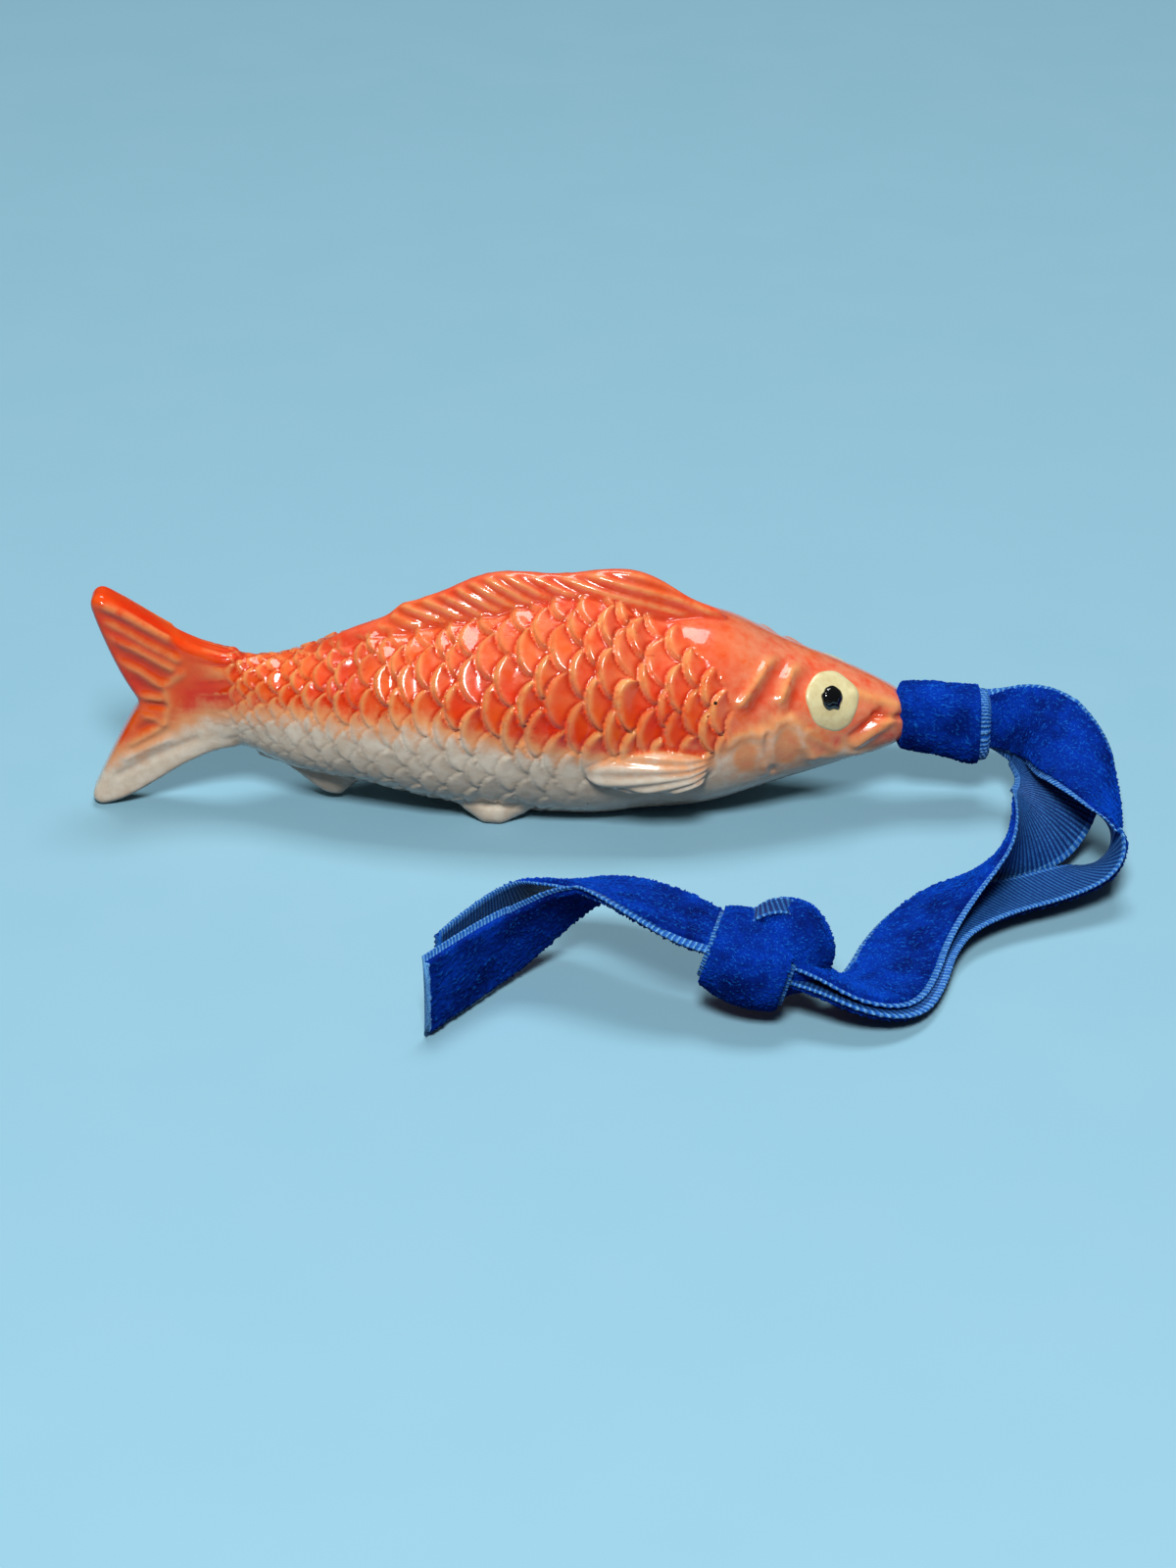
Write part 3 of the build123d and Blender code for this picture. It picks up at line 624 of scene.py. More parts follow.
def tape_material(name, dark, light):
    """Woven tape with ribs across it, which follow its own length and width; the rib crests are painted
    lighter as highlights and the valleys darker as shade.
    """
    shader = Shader(name)
    flat = shader.node("ShaderNodeUVMap", uv_map="tape").outputs[0]
    length = shader.node("ShaderNodeSeparateXYZ", [(0, flat)]).outputs[0]
    phase = shader.times(length, 2 * math.pi / RIB_PITCH)
    rib = shader.ramp(shader.math("SINE", phase), -0.9, 0.9)
    yarn = shader.noise("yarn")
    # Painted light on the ribs: lighter crests and darker valleys, broken up by the yarn noise
    share = shader.times(rib, shader.ramp(yarn, 0.2, 0.75))
    shader.set(Base_Color=shader.mix(share, dark, light), Roughness=0.48, Specular_IOR_Level=0.25,
               Sheen_Weight=0.2, Sheen_Roughness=0.4, Sheen_Tint=TAPE_SHEEN)
    height = shader.plus(rib, yarn, 0.4)
    shader.set(Normal=shader.bump(height, "tape"))
    return shader.material


GLAZE = glaze_material()
eye_enamel = mottled_material("eye_enamel", "brush", (0.3, 0.7), EYE_CREAM_THIN, EYE_CREAM, (0.22, 0.2),
                              "eye", Coat_Weight=0.3, Coat_Roughness=0.1)
pupil_enamel = mottled_material("pupil_enamel", "spots", (0.6, 0.8), PUPIL_BLACK, PUPIL_GREY, (0.04, 0.08),
                                Coat_Weight=0.6, Coat_Roughness=0.03)
ENAMELS = {"eye": eye_enamel, "pupil": pupil_enamel}
WIRE = mottled_material("ring_wire", "wear", (0.45, 0.7), WIRE_DARK, WIRE_WORN, (0.3, 0.3), "wire",
                        Metallic=0.85)
PILE = pile_material()
TAPE = tape_material("velvet_tape", TAPE_VALLEY_SHADE, TAPE_RIB_HIGHLIGHT)
SELVAGE = tape_material("velvet_selvage", SELVAGE_VALLEY_SHADE, SELVAGE_RIB_HIGHLIGHT)
RIBBON_MATERIALS = [PILE, TAPE, SELVAGE]
PILE_FACE, TAPE_FACE, SELVAGE_FACE = range(3)


# Skin of the fish
def remeshed(name, nodes, voxel, ramp=None):
    """One closed skin round copies of the nodes, and round a long drop of clay where ramp places one."""
    merged = bmesh.new()
    for node in nodes:
        merged.from_mesh(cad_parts[node].data)
    if ramp:
        bmesh.ops.create_icosphere(merged, subdivisions=5, radius=1, matrix=ramp)
    skin = form_object(name, merged)
    skin.modifiers.new("voxels", "REMESH").voxel_size = voxel
    graph = bpy.context.evaluated_depsgraph_get()
    skin.data = bpy.data.meshes.new_from_object(skin.evaluated_get(graph))
    skin.modifiers.clear()
    return skin


def body_profile(points):
    """Rows along X of the body's middle height, half height and half width."""
    rows = []
    first, last = points[:, 0].min() + PROFILE_STEP, points[:, 0].max() - PROFILE_STEP
    for place in np.linspace(first, last, PROFILE_ROWS):
        near = points[np.abs(points[:, 0] - place) < PROFILE_STEP]
        low, high = near[:, 2].min(), near[:, 2].max()
        rows.append((place, (low + high) / 2, (high - low) / 2, np.abs(near[:, 1]).max()))
    return np.array(rows)


def scale_field(along, around, jitter):
    """Height, rim and pool of overlapping scales; a scale nearer the head lies on top."""
    top_centre = np.full(len(along), -np.inf)
    height = np.zeros(len(along))
    rim = np.zeros(len(along))
    gap = np.full(len(along), np.inf)
    for row_step in (-1, 0, 1, 2):
        row = np.floor(around) + row_step
        shift = 0.5 * (row % 2)
        for column_step in (-1, 0, 1, 2):
            column = np.floor(along - shift) + column_step
            cell = jitter[column.astype(int) % SCALE_TABLE, row.astype(int) % SCALE_TABLE]
            centre = column + shift + cell[:, 0] * SCALE_JITTER_SHARE
            off = (around - row - cell[:, 1] * SCALE_JITTER_SHARE) / SCALE_SPREAD_SHARE
            inside = np.abs(off) < 1
            edge = along - centre + SCALE_REACH_SHARE * np.sqrt(1 - np.clip(off * off, 0, 1))
            gap = np.where(inside & (edge < 0), np.minimum(gap, -edge), gap)
            covers = inside & (edge >= 0) & (centre > top_centre)
            lift = SCALE_LIFT_SHARE * cell[:, 2]
            fall = 1 - SCALE_DEPTH_SHARE * fade("scale_fall", edge)
            rise = (1 + lift) * fade("scale_rise", edge) * fall
            line = fade("rim_start", edge) * (1 - fade("rim_end", edge))
            # The rim is painted paler towards the scale's upper side, as a highlight from light above
            line = line * (RIM_LOWER_SIDE_SHARE + (1 - RIM_LOWER_SIDE_SHARE) * fade("rim_upper_highlight", off))
            line = line * (RIM_FULL_SHARE + lift)
            top_centre = np.where(covers, centre, top_centre)
            height = np.where(covers, rise, height)
            rim = np.where(covers, line, rim)
    return height, rim, 1 - fade("scale_gap", gap)


def line_distance(points, route):
    """Distance of side-view points from a line of points."""
    nearest = np.full(len(points), np.inf)
    for start, end in zip(np.array(route)[:-1], np.array(route)[1:]):
        run = end - start
        share = np.clip(((points - start) @ run) / (run @ run), 0, 1)
        nearest = np.minimum(nearest, np.linalg.norm(points - start - share[:, None] * run, axis=1))
    return nearest


def in_box(points, node, margin):
    """True for points in a node's box, grown by a margin."""
    low, high = (np.array(corner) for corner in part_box(node))
    return np.all((points > low - margin) & (points < high + margin), axis=1)


def soften(mesh, points, share, rounds):
    """Points drawn towards the middle of their neighbours, as far as share says."""
    ends = np.empty(len(mesh.edges) * 2, dtype=np.int32)
    mesh.edges.foreach_get("vertices", ends)
    first, second = ends.reshape(-1, 2).T
    neighbours = np.bincount(ends, minlength=len(points))[:, None]
    for _ in range(rounds):
        total = np.column_stack([np.bincount(first, column[second], len(points))
                                 + np.bincount(second, column[first], len(points)) for column in points.T])
        points = points + 0.5 * share[:, None] * (total / neighbours - points)
    return points


def make_skin():
    """Fish with its fins as one glazed skin, with scales, head creases and fin rays in relief."""
    body = remeshed("body_alone", BODY_NODES, 2 * SKIN_VOXEL)
    profile = body_profile(rows_of(body.data.vertices, "co"))
    body_tree = BVHTree.FromObject(body, bpy.context.evaluated_depsgraph_get())
    bpy.data.objects.remove(body)

    ramp = Matrix.LocRotScale(Vector(RAMP_MIDDLE), Euler((0, RAMP_SLOPE, 0)), Vector(RAMP_SIZES))
    skin = remeshed("fish_skin", BODY_NODES + FIN_NODES, SKIN_VOXEL, ramp)
    points = rows_of(skin.data.vertices, "co")
    even = 1 - (1 - TAIL_SMOOTHING_SHARE) * fade("tail_smoothing", points[:, 0])
    points = soften(skin.data, points, even, SKIN_SMOOTHING)
    soft = np.zeros(len(points))
    for place_x, place_z, reach in SOFT_PLACES:
        near = np.hypot(points[:, 0] - place_x, points[:, 2] - place_z) / reach
        soft = np.maximum(soft, 1 - smoothstep(SOFT_CORE_SHARE, 1.0, near))
    points = soften(skin.data, points, soft, SOFT_ROUNDS)
    skin.data.vertices.foreach_set("co", points.ravel())
    skin.data.update()
    normals = rows_of(skin.data.vertex_normals, "vector")
    sideways = np.abs(normals[:, 1])
    x, y, z = points.T
    side_view = points[:, [0, 2]]
    middle, half_height, half_width = (np.interp(x, profile[:, 0], column) for column in profile.T[1:])
    off_body = np.array([body_tree.find_nearest(point)[3] for point in points.tolist()])
    fin = fade("fin", off_body)
    over_edge = z - np.interp(x, *np.array(GLAZE_EDGE).T)

    # Scales
    angle = np.arctan2(np.abs(y) / half_width, (z - middle) / half_height)
    pitch_rows = SCALE_PITCH_BASE + SCALE_PITCH_SHARE * profile[:, 2]
    steps = np.diff(profile[:, 0]) / (0.5 * (pitch_rows[1:] + pitch_rows[:-1]))
    along = np.interp(x, profile[:, 0], np.concatenate([[0], np.cumsum(steps)]))
    around = angle / np.pi * SCALE_HALF_ROWS + np.where(y > 0, SCALE_TABLE // 2, 0)
    jitter = np.random.RandomState(SCALE_SEED).uniform(-1, 1, (SCALE_TABLE, SCALE_TABLE, 3))
    noise.seed_set(SCALE_SEED)
    warp = SCALE_WARP_SHARE * noise_at(points, SCALE_WARP_SCALE, noise.noise_vector)
    height, rim, pool = scale_field(along + warp[:, 0], around + warp[:, 1], jitter)
    pitch = np.interp(x, profile[:, 0], pitch_rows)
    gill = np.interp(z, *np.array(GILL_EDGE).T)
    scaled = fade("gill_edge", x - gill) * fade("tail_root", x)
    breast = fade("breast", x) * fade("breast_height", z)
    fin_cover = np.where(x < TAIL_FIN_START, fin * fade("tail_fin", x), fin)
    scaled = scaled * (1 - fin_cover) * (1 - breast)
    relief = SCALE_RELIEF * (1 - (1 - BELLY_RELIEF_SHARE) * fade("belly", over_edge))
    relief = relief * (1 - (1 - REAR_RELIEF_SHARE) * fade("rear", x))
    move = relief * (pitch / SCALE_FULL_PITCH) * (height - SCALE_MIDDLE_SHARE) * scaled
    rim = rim * scaled
    pool = pool * scaled

    # Creases and ridges of head and tail
    cream_line = np.zeros(len(points))
    levels = np.linspace(0, z.max(), TAIL_EDGE_ROWS + 1)
    edge_x = [x[(z >= low) & (z <= high)].min() for low, high in zip(levels, levels[1:])]
    from_edge = x - np.interp(z, 0.5 * (levels[1:] + levels[:-1]), edge_x)
    tail_face = fade("tail_side", sideways) * fade("tail_edge", from_edge)
    face = np.where(x < TAIL_START, tail_face, fade("head_side", sideways))
    for name, (width, rise, *route) in RELIEF_LINES.items():
        share = np.exp(-(line_distance(side_view, route) / width) ** 2) * face
        share = share * (TAIL_LINE_SHARE if name.startswith("tail") else 1)
        move = move + rise * share
        if name in CREAM_LINES:
            cream_line = np.maximum(cream_line, share)
        elif rise > 0:
            rim = np.maximum(rim, LINE_TINT_SHARE * share)
        else:
            pool = np.maximum(pool, LINE_TINT_SHARE * share)

    # Fin rays
    def add_rays(share, turns, rise):
        """Adds rays to the relief where share is 1, one for each turn."""
        nonlocal move, rim, pool
        ridge = 0.5 + 0.5 * np.cos(2 * np.pi * turns)
        move = move + rise * (ridge - 0.5) * share
        rim = np.maximum(rim, RAY_RIM_SHARE * share * smoothstep(0.5, 1.0, ridge))
        pool = np.maximum(pool, RAY_POOL_SHARE * share * smoothstep(0.5, 0.0, ridge))

    dorsal = fin * in_box(points, "dorsal_fin", DORSAL_MARGIN) * fade("dorsal_side", sideways)
    sway = DORSAL_SWAY_SHARE * np.sin(x / DORSAL_SWAY_LENGTH)
    add_rays(dorsal, (z + DORSAL_RAY_SLOPE * x) / DORSAL_RAY_PITCH + sway, DORSAL_RAY_HEIGHT)
    fan_x, fan_z = PECTORAL_FAN_CENTRE
    fan = np.arctan2(z - fan_z, fan_x - x) / PECTORAL_FAN_STEP
    pectorals = np.zeros(len(points))
    for side in SIDES:
        pectoral = fin * in_box(points, "pectoral_fin_" + side, PECTORAL_MARGIN)
        pectorals = np.maximum(pectorals, pectoral)
        add_rays(pectoral, fan, PECTORAL_RAY_HEIGHT)

    # Seams where the fins sit on the body
    seam = fade("seam_start", off_body) * (1 - fade("seam_end", off_body))
    seam = seam * fade("seam_ends", np.abs(x)) * fade("seam_tail", x)
    pool = np.maximum(pool, SEAM_POOL_SHARE * seam)
    move = move - SEAM_DEPTH * seam + WAVE_HEIGHT * noise_at(points, WAVE_SCALE)
    skin.data.vertices.foreach_set("co", (points + normals * move[:, None]).ravel())

    # Glaze
    drift = GLAZE_DRIFT * noise_at(points, GLAZE_DRIFT_SCALE)
    cream = smoothstep(GLAZE_FADE, -GLAZE_FADE, over_edge + drift + GLAZE_SCALE_SHIFT * (pool - rim))
    for patch_x, patch_z, half_length, half_rise, most in GLAZE_PATCHES:
        away = np.hypot((x - patch_x) / half_length, (z - patch_z) / half_rise)
        cream = np.minimum(cream, most + (1 - most) * fade("patch", away))
    cream = np.maximum(cream, CREAM_SHARE * cream_line)
    cream = np.maximum(cream, PECTORAL_CREAM_SHARE * pectorals)
    # Mask of thin glaze and painted sheen: the head, and the back towards its top, are paler
    thin_and_sheen = HEAD_THIN_AND_SHEEN_SHARE * fade("head_thin_and_sheen", x)
    thin_and_sheen = np.maximum(thin_and_sheen, BACK_THIN_AND_SHEEN_SHARE * fade("back_thin_and_sheen", z)) * fade("tail_thin_and_sheen", x)
    masks = skin.data.color_attributes.new("glaze_masks", "FLOAT_COLOR", "POINT")
    masks.data.foreach_set("color", np.column_stack([rim, pool, cream, thin_and_sheen]).ravel())
    skin.data.materials.append(GLAZE)
    shade_smooth(skin)
    skin.data.update()
    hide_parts(*BODY_NODES, *FIN_NODES)
    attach(skin, "fish")
    return skin


def make_eye(skin_tree, name, side):
    """Disc of enamel on the head with a bead of black in its middle, both with an uneven edge."""
    facing = Vector((0, side * math.cos(EYE_TILTS[name]), math.sin(EYE_TILTS[name])))
    right = Vector((1, 0, 0))
    up = facing.cross(right) * -side
    axis = Vector((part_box("body_shell_right")[1][0] - EYE_SETBACK, 0, EYE_AXIS_HEIGHT))
    for kind, (radius, rise, seat, wobble, power, dish) in DISCS.items():
        form = bmesh.new()
        rings = []
        for ring in range(1, EYE_RINGS + 1):
            share = ring / EYE_RINGS
            dome = (1 - share ** power) ** 0.5 * (1 - dish + dish * share ** 2)
            lift = dome * rise + seat - EYE_SINK * (share >= 1)
            row = []
            for spoke in range(EYE_SPOKES):
                turn = 2 * math.pi * spoke / EYE_SPOKES
                cosine, sine = math.cos(turn), math.sin(turn)
                spot = (WOBBLE_SCALE * cosine, WOBBLE_SCALE * sine, side + radius * WOBBLE_STEP)
                reach = radius * share * (1 + wobble * noise.noise(spot))
                start = axis + right * (EYE_WIDTH_SHARE * reach * cosine)
                start = start + up * (EYE_HEIGHT_SHARE * reach * sine)
                hit = skin_tree.ray_cast(start + facing * EYE_START, -facing)[0]
                row.append(form.verts.new(hit + facing * lift))
            rings.append(row)
        hub = form.verts.new(sum((vert.co for vert in rings[0]), Vector()) / EYE_SPOKES)
        for spoke in range(EYE_SPOKES):
            after = (spoke + 1) % EYE_SPOKES
            form.faces.new((hub, rings[0][spoke], rings[0][after]))
            for inner, outer in zip(rings, rings[1:]):
                form.faces.new((inner[spoke], outer[spoke], outer[after], inner[after]))
        bmesh.ops.recalc_face_normals(form, faces=form.faces)
        piece = form_object("enamel_" + kind + "_" + name, form, ENAMELS[kind])
        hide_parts(kind + "_" + name)
        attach(piece, "fish")


skin = make_skin()
skin_tree = BVHTree.FromObject(skin, bpy.context.evaluated_depsgraph_get())
for side_name, side_sign in SIDES.items():
    make_eye(skin_tree, side_name, side_sign)

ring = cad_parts["mouth_ring"]
ring.data.materials.clear()
ring.data.materials.append(WIRE)


# Ribbon
def section_points():
    """Ribbon section round from its near edge: place across, height and material of the next face."""
    half = RIBBON_WIDTH / 2
    foot = half - PILE_MARGIN
    shoulder = SHOULDER_SHARE * PILE_SHOULDER
    edge = [(half, TAPE_BACK + LIP_ROUND), (half, LIP_TOP - LIP_ROUND), (half - LIP_ROUND, LIP_TOP),
            (foot, LIP_TOP), (foot, PILE_TOP - PILE_SHOULDER), (foot - shoulder, PILE_TOP - shoulder)]
    pile = np.linspace(-foot + PILE_SHOULDER, foot - PILE_SHOULDER, PILE_POINTS)
    back = [half - LIP_ROUND, *np.linspace(foot, -foot, PILE_POINTS), -half + LIP_ROUND]
    outline = [(-place, height) for place, height in edge] + [(place, PILE_TOP) for place in pile]
    outline += edge[::-1] + [(place, TAPE_BACK) for place in back]
    kinds = [SELVAGE_FACE] * 3 + [PILE_FACE] * (PILE_POINTS + 5) + [SELVAGE_FACE] * 5
    kinds += [TAPE_FACE] * (PILE_POINTS - 1) + [SELVAGE_FACE] * 2
    return [(*point, kind) for point, kind in zip(outline, kinds)]


SECTION = section_points()


def tufts(random, count):
    """Heights of tufts as shares, 0 where none stands out."""
    return (random.uniform(0, 1, count) < TUFT_SHARE) * random.uniform(TUFT_LEAST_SHARE, 1.0, count)


def ribbon_piece(name, rows, tips, kinds, flat, closed):
    """Ribbon of rows of points, with tips of the pile, materials of faces and places on the flat tape."""
    count, size = tips.shape
    here = np.arange(count * size).reshape(count, size)
    beside = np.roll(here, -1, axis=1)
    quads = np.stack([here, beside, np.roll(beside, -1, axis=0), np.roll(here, -1, axis=0)], axis=-1)
    steps = count if closed else count - 1
    faces = quads[:steps].reshape(-1, 4).tolist()
    materials = np.broadcast_to(kinds, (count, size))[:steps].ravel().tolist()
    if not closed:
        faces += [here[0, ::-1].tolist(), here[-1].tolist()]
        materials += [SELVAGE_FACE, SELVAGE_FACE]
    mesh = bpy.data.meshes.new(name)
    mesh.from_pydata(rows.reshape(-1, 3).tolist(), [], faces)
    # The tufts' heights also mask a painted highlight in the pile's colour
    mesh.attributes.new("pile_tip_glint", "FLOAT", "POINT").data.foreach_set("value", tips.ravel())
    for material in RIBBON_MATERIALS:
        mesh.materials.append(material)
    mesh.polygons.foreach_set("material_index", materials)
    loops = np.empty(len(mesh.loops), dtype=int)
    mesh.loops.foreach_get("vertex_index", loops)
    mesh.uv_layers.new(name="tape").data.foreach_set("uv", flat.reshape(-1, 2)[loops].ravel())
    cleaned = bmesh.new()
    cleaned.from_mesh(mesh)
    bmesh.ops.recalc_face_normals(cleaned, faces=cleaned.faces)
    cleaned.to_mesh(mesh)
    cleaned.free()
    piece = add_object(name, mesh)
    shade_smooth(piece)
    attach(piece, "ribbon")
    return piece


def square_to(tangents, across):
    """Ways across made square to the tangents."""
    return unit(across - tangents * np.sum(across * tangents, axis=1)[:, None])


def make_strip(name, line, across, velvet_side, widths, cups, closed=False):
    """Ribbon along a line of points; velvet_side says which way its pile faces from tangent and across."""
    count, size = len(line), len(SECTION)
    widths, cups = np.broadcast_to(widths, count), np.broadcast_to(cups, count)
    if closed:
        tangents = unit(np.roll(line, -1, axis=0) - np.roll(line, 1, axis=0))
    else:
        tangents = unit(np.gradient(line, axis=0))
    across = square_to(tangents, across)
    up = velvet_side * np.cross(tangents, across)
    lengths = np.concatenate([[0], np.cumsum(np.linalg.norm(np.diff(line, axis=0), axis=1))])
    radius = RIBBON_WIDTH / 2 / np.where(np.abs(cups) < LEAST_CUP, LEAST_CUP, cups)
    random = np.random.RandomState(RIBBON_SEED)
    rows = np.empty((count, size, 3))
    tips = np.zeros((count, size))
    for index, (place, height, material) in enumerate(SECTION):
        rise = np.full(count, height)
        spread = place * widths
        if material == PILE_FACE and height > LIP_TOP:
            tips[:, index] = tufts(random, count)
            rise = rise + PILE_ROUGHNESS * random.uniform(-1, 1, count) + TUFT_HEIGHT * tips[:, index]
        if material == PILE_FACE and height < PILE_TOP:
            spread = spread + np.sign(place) * TUFT_HEIGHT * tips[:, index]
        if material == SELVAGE_FACE and abs(place) > RIBBON_WIDTH / 2 - PILE_MARGIN:
            stitch = np.sin(2 * np.pi * lengths / STITCH_PITCH + (np.pi if height > TAPE_BACK / 2 else 0))
            spread = spread + np.sign(place) * STITCH_HEIGHT * STITCH_SPREAD_SHARE * stitch
            rise = rise + STITCH_HEIGHT * stitch
        turn = spread / radius
        facing = across * np.sin(turn)[:, None] + up * np.cos(turn)[:, None]
        rows[:, index] = line + facing * (radius + rise)[:, None] - up * radius[:, None]
    places, _, kinds = np.array(SECTION).T
    flat = np.stack(np.broadcast_arrays(lengths[:, None], places), axis=-1)
    return ribbon_piece(name, rows, tips, kinds.astype(int), flat, closed)


def spline_points(points):
    """Points along a smooth spline that has the given points as its control points."""
    curve = bpy.data.curves.new("route", "CURVE")
    curve.dimensions = "3D"
    curve.resolution_u = ROUTE_RESOLUTION
    spline = curve.splines.new("NURBS")
    spline.points.add(len(points) - 1)
    for control, point in zip(spline.points, points):
        control.co = (*point, 1)
    spline.order_u = 3
    spline.use_endpoint_u = True
    holder = add_object("route", curve)
    mesh = bpy.data.meshes.new_from_object(holder)
    line = rows_of(mesh.vertices, "co")
    bpy.data.objects.remove(holder)
    bpy.data.meshes.remove(mesh)
    return line


def evened(rows, span):
    """Rows averaged over a span of neighbours, with the ends held."""
    reach = span // 2
    padded = np.pad(rows, ((reach, reach), (0, 0)), mode="edge")
    window = np.hanning(span + 2)[1:-1]
    window /= window.sum()
    return np.column_stack([np.convolve(column, window, mode="valid") for column in padded.T])


def make_half(name, route, velvet_side):
    """One half of the ribbon, from the ring to its cut end."""
    middle = np.array([point for point, across in route]) + np.array([ROUTE_START_X, 0, 0])
    ways = unit(np.array([across for point, across in route]))
    line = spline_points(middle)
    across = spline_points(middle + ways * RIBBON_WIDTH / 2) - line
    share = np.linspace(0, len(route) - 1, len(line))
    line[:, 2] += from_table(LIFTS[name], share)
    opened = smoothstep(GATHER_END, OPEN_START, share)
    widths = GATHER_SHARE + (1 - GATHER_SHARE) * opened
    widths = widths * from_table(KNOT_GATHER_SHARES, share - KNOT_POINTS[name])
    widths = evened(widths[:, None], WIDTH_SPAN)[:, 0]
    tangents = unit(np.gradient(line, axis=0))
    across = evened(square_to(tangents, across), ACROSS_SPANS[name])
    cups = velvet_side * from_table(CUP_ANGLES[name], share)
    strip = make_strip("ribbon_" + name + "_half", line, across, velvet_side, widths, cups)
    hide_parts("ribbon_" + name + "_strand", "ribbon_" + name + "_tail")
    return strip, line


def make_hitch():
    """Loop of ribbon drawn round both strands, its width along X, with a selvage at its outer end."""
    stations = np.array(HITCH_STATIONS)
    shares = np.linspace(0, 1, HITCH_ALONG)
    places = np.linspace(0, 1, len(stations))
    x, middle, half_height, half_depth = (np.interp(shares, places, column) for column in stations.T)
    for _ in range(HITCH_EVENINGS):
        for column in (middle, half_height, half_depth):
            column[1:-1] = 0.25 * column[:-2] + 0.5 * column[1:-1] + 0.25 * column[2:]
    turns = np.linspace(0, 2 * np.pi, HITCH_AROUND, endpoint=False)
    depth_share, height_share = (np.sign(wave) * np.abs(wave) ** (2 / HITCH_POWER)
                                 for wave in (np.cos(turns), np.sin(turns)))
    random = np.random.RandomState(RIBBON_SEED)
    draws = [(tufts(random, HITCH_AROUND), random.uniform(-1, 1, HITCH_AROUND)) for _ in shares]
    tips, rough = np.array(draws).transpose(1, 0, 2)
    selvage = shares[:, None] > 1 - HITCH_SELVAGE_SHARE
    tips = tips * ~selvage
    stitch_turns = np.arange(HITCH_ALONG)[:, None] * HITCH_STITCH_TURN
    stitch = np.sin(turns * HITCH_AROUND / HITCH_STITCH_POINTS + stitch_turns)
    pile = PILE_ROUGHNESS * rough + TUFT_HEIGHT * tips
    rise = np.where(selvage, STITCH_HEIGHT * stitch - HITCH_SELVAGE_STEP, pile)

    # Outside from the fish outwards, then inside back again
    inside = np.zeros((HITCH_ALONG, HITCH_AROUND))
    rise = np.concatenate([rise, inside - HITCH_WALL])
    tips = np.concatenate([tips, inside])
    kinds = np.concatenate([np.where(selvage, SELVAGE_FACE, PILE_FACE), np.full((HITCH_ALONG, 1), TAPE_FACE)])
    x, middle, high, deep, shares = (np.concatenate([column, column[::-1]])[:, None]
                                     for column in (x, middle, half_height, half_depth, shares))
    sweep = HITCH_LEFT_SWEEP * (1 - shares) ** HITCH_SWEEP_POWER * np.abs(depth_share)
    rows = np.stack([x + sweep, depth_share * (deep + rise), middle + height_share * (high + rise)], axis=-1)
    flat = np.zeros((*tips.shape, 2))
    flat[:, :, 0] = turns * np.mean(half_height)
    hitch = ribbon_piece("ribbon_hitch", rows, tips, kinds, flat, closed=True)
    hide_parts("ribbon_hitch_band")
    return hitch


def make_turn():
    """Turn of ribbon round the ring's outer bar, inside the hitch."""
    turns = np.linspace(0.5 * np.pi, 1.5 * np.pi, TURN_STEPS)
    line = np.column_stack([ROUTE_START_X + TURN_RADIUS * np.cos(turns), TURN_RADIUS * np.sin(turns),
                            np.full(TURN_STEPS, FRONT_ROUTE[0][0][2])])
    turn = make_strip("ribbon_turn", line, (0, 0, 1), -1, GATHER_SHARE, 0.0)
    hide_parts("ribbon_bight")
    return turn


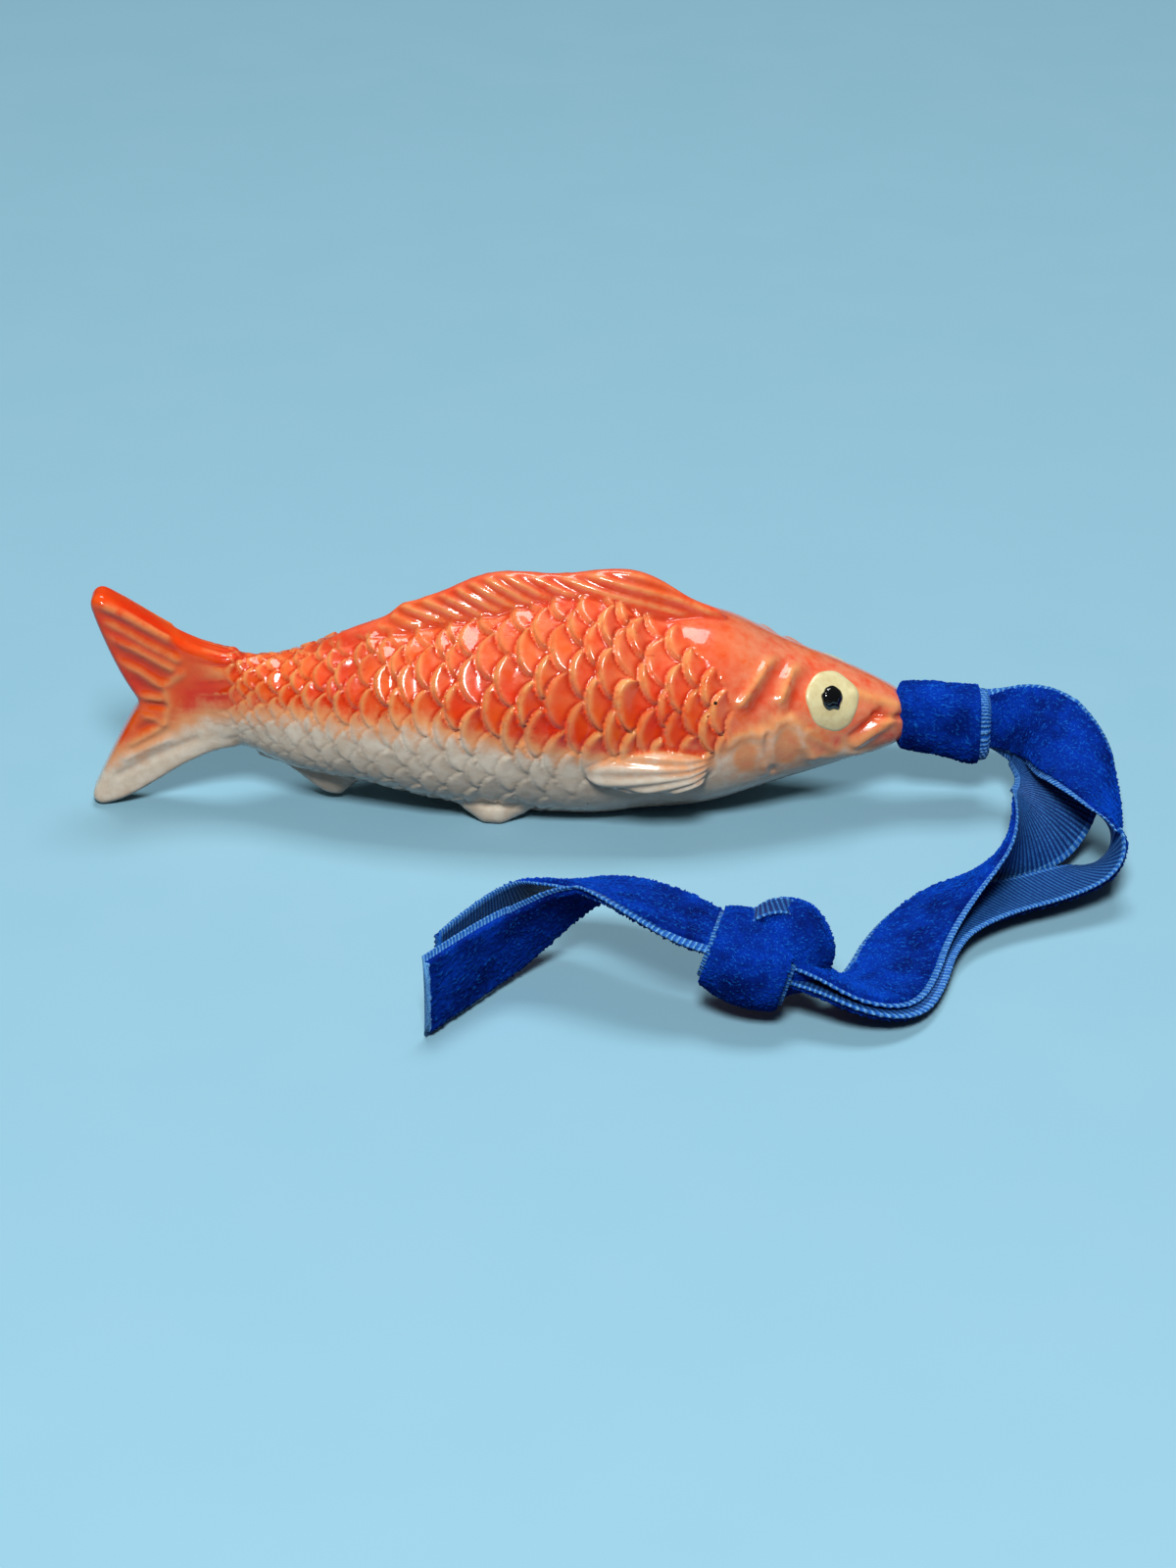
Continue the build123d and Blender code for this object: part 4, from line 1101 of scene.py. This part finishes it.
def make_knot():
    """Loops of ribbon drawn round a core of folds."""
    pieces = []
    turns = np.linspace(0, 2 * np.pi, KNOT_STEPS, endpoint=False)
    for name, (centre, across, depth, height, cup) in {"front": KNOT_FRONT, "rear": KNOT_REAR}.items():
        way = np.array(across) / np.linalg.norm(across)
        deep = np.cross([0.0, 0.0, 1.0], way)
        deep /= np.linalg.norm(deep)
        high = np.cross(way, deep)
        line = np.outer(depth * np.cos(turns), deep) + np.outer(height * np.sin(turns), high) + centre
        pieces.append(make_strip("knot_" + name + "_loop", line, way, 1, 1.0, cup, closed=True))
    line = spline_points(KNOT_FOLD)
    pieces.append(make_strip("knot_fold", line, KNOT_FOLD_ACROSS, -1, KNOT_FOLD_SHARE, KNOT_FOLD_CUP))
    fillings = {"knot_core": (KNOT_CENTRE, KNOT_CORE), "knot_fill": (KNOT_REAR[0], KNOT_FILL)}
    for name, (centre, sizes) in fillings.items():
        form = bmesh.new()
        bmesh.ops.create_icosphere(form, subdivisions=5, radius=1)
        for vert in form.verts:
            swell = 1 + KNOT_SWELL_SHARE * noise.noise(vert.co * KNOT_SWELL_SCALE)
            vert.co = Vector(centre) + Vector([size * swell * part for size, part in zip(sizes, vert.co)])
        core = form_object(name, form, PILE)
        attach(core, "ribbon")
        pieces.append(core)
    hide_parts("ribbon_knot")
    return pieces


halves = [make_half("front", FRONT_ROUTE, 1), make_half("back", BACK_ROUTE, -1)]
travelling = [[make_hitch(), make_turn(), *make_knot()], []]


# Floor, light and camera
def make_floor():
    """Plain pale floor."""
    form = bmesh.new()
    bmesh.ops.create_grid(form, x_segments=1, y_segments=1, size=FLOOR_SIZE)
    shader = Shader("floor_paper")
    grain = shader.noise("grain")
    paper = shader.mix(shader.ramp(grain, 0.3, 0.7), FLOOR_BLUE, FLOOR_GRAIN)
    rays = shader.node("ShaderNodeLightPath").outputs
    seen = shader.math("MAXIMUM", rays["Is Camera Ray"], rays["Is Glossy Ray"])
    seen = shader.math("MAXIMUM", seen, rays["Is Transmission Ray"])
    shader.set(Base_Color=shader.mix(seen, FLOOR_BOUNCE, paper), Roughness=0.9, Specular_IOR_Level=0.1)
    form_object("floor", form, shader.material)


make_floor()
for lamp_name, (place, size, power) in LAMPS.items():
    lamp = bpy.data.lights.new(lamp_name, "AREA")
    lamp.size = size
    lamp.energy = power
    holder = add_object(lamp_name, lamp)
    holder.location = place
    holder.rotation_euler = (Vector(LAMP_TARGET) - Vector(place)).to_track_quat("-Z", "Y").to_euler()
world = bpy.data.worlds.new("studio")
bpy.context.scene.world = world
world.use_nodes = True
background = world.node_tree.nodes["Background"]
background.inputs["Color"].default_value = WORLD_GREY
background.inputs["Strength"].default_value = WORLD_STRENGTH

camera = add_object("camera", bpy.data.cameras.new("camera"))
camera.data.sensor_fit = "VERTICAL"
camera.data.sensor_height = CAMERA_SENSOR
camera.data.lens = CAMERA_LENS
camera.data.clip_start = CAMERA_NEAR
eye_way = Vector((0, -math.cos(CAMERA_ELEVATION), math.sin(CAMERA_ELEVATION)))
camera.location = Vector(CAMERA_TARGET) + eye_way * CAMERA_DISTANCE
camera.rotation_euler = (-eye_way).to_track_quat("-Z", "Y").to_euler()
bpy.context.scene.camera = camera
bpy.context.scene.view_settings.view_transform = "Standard"
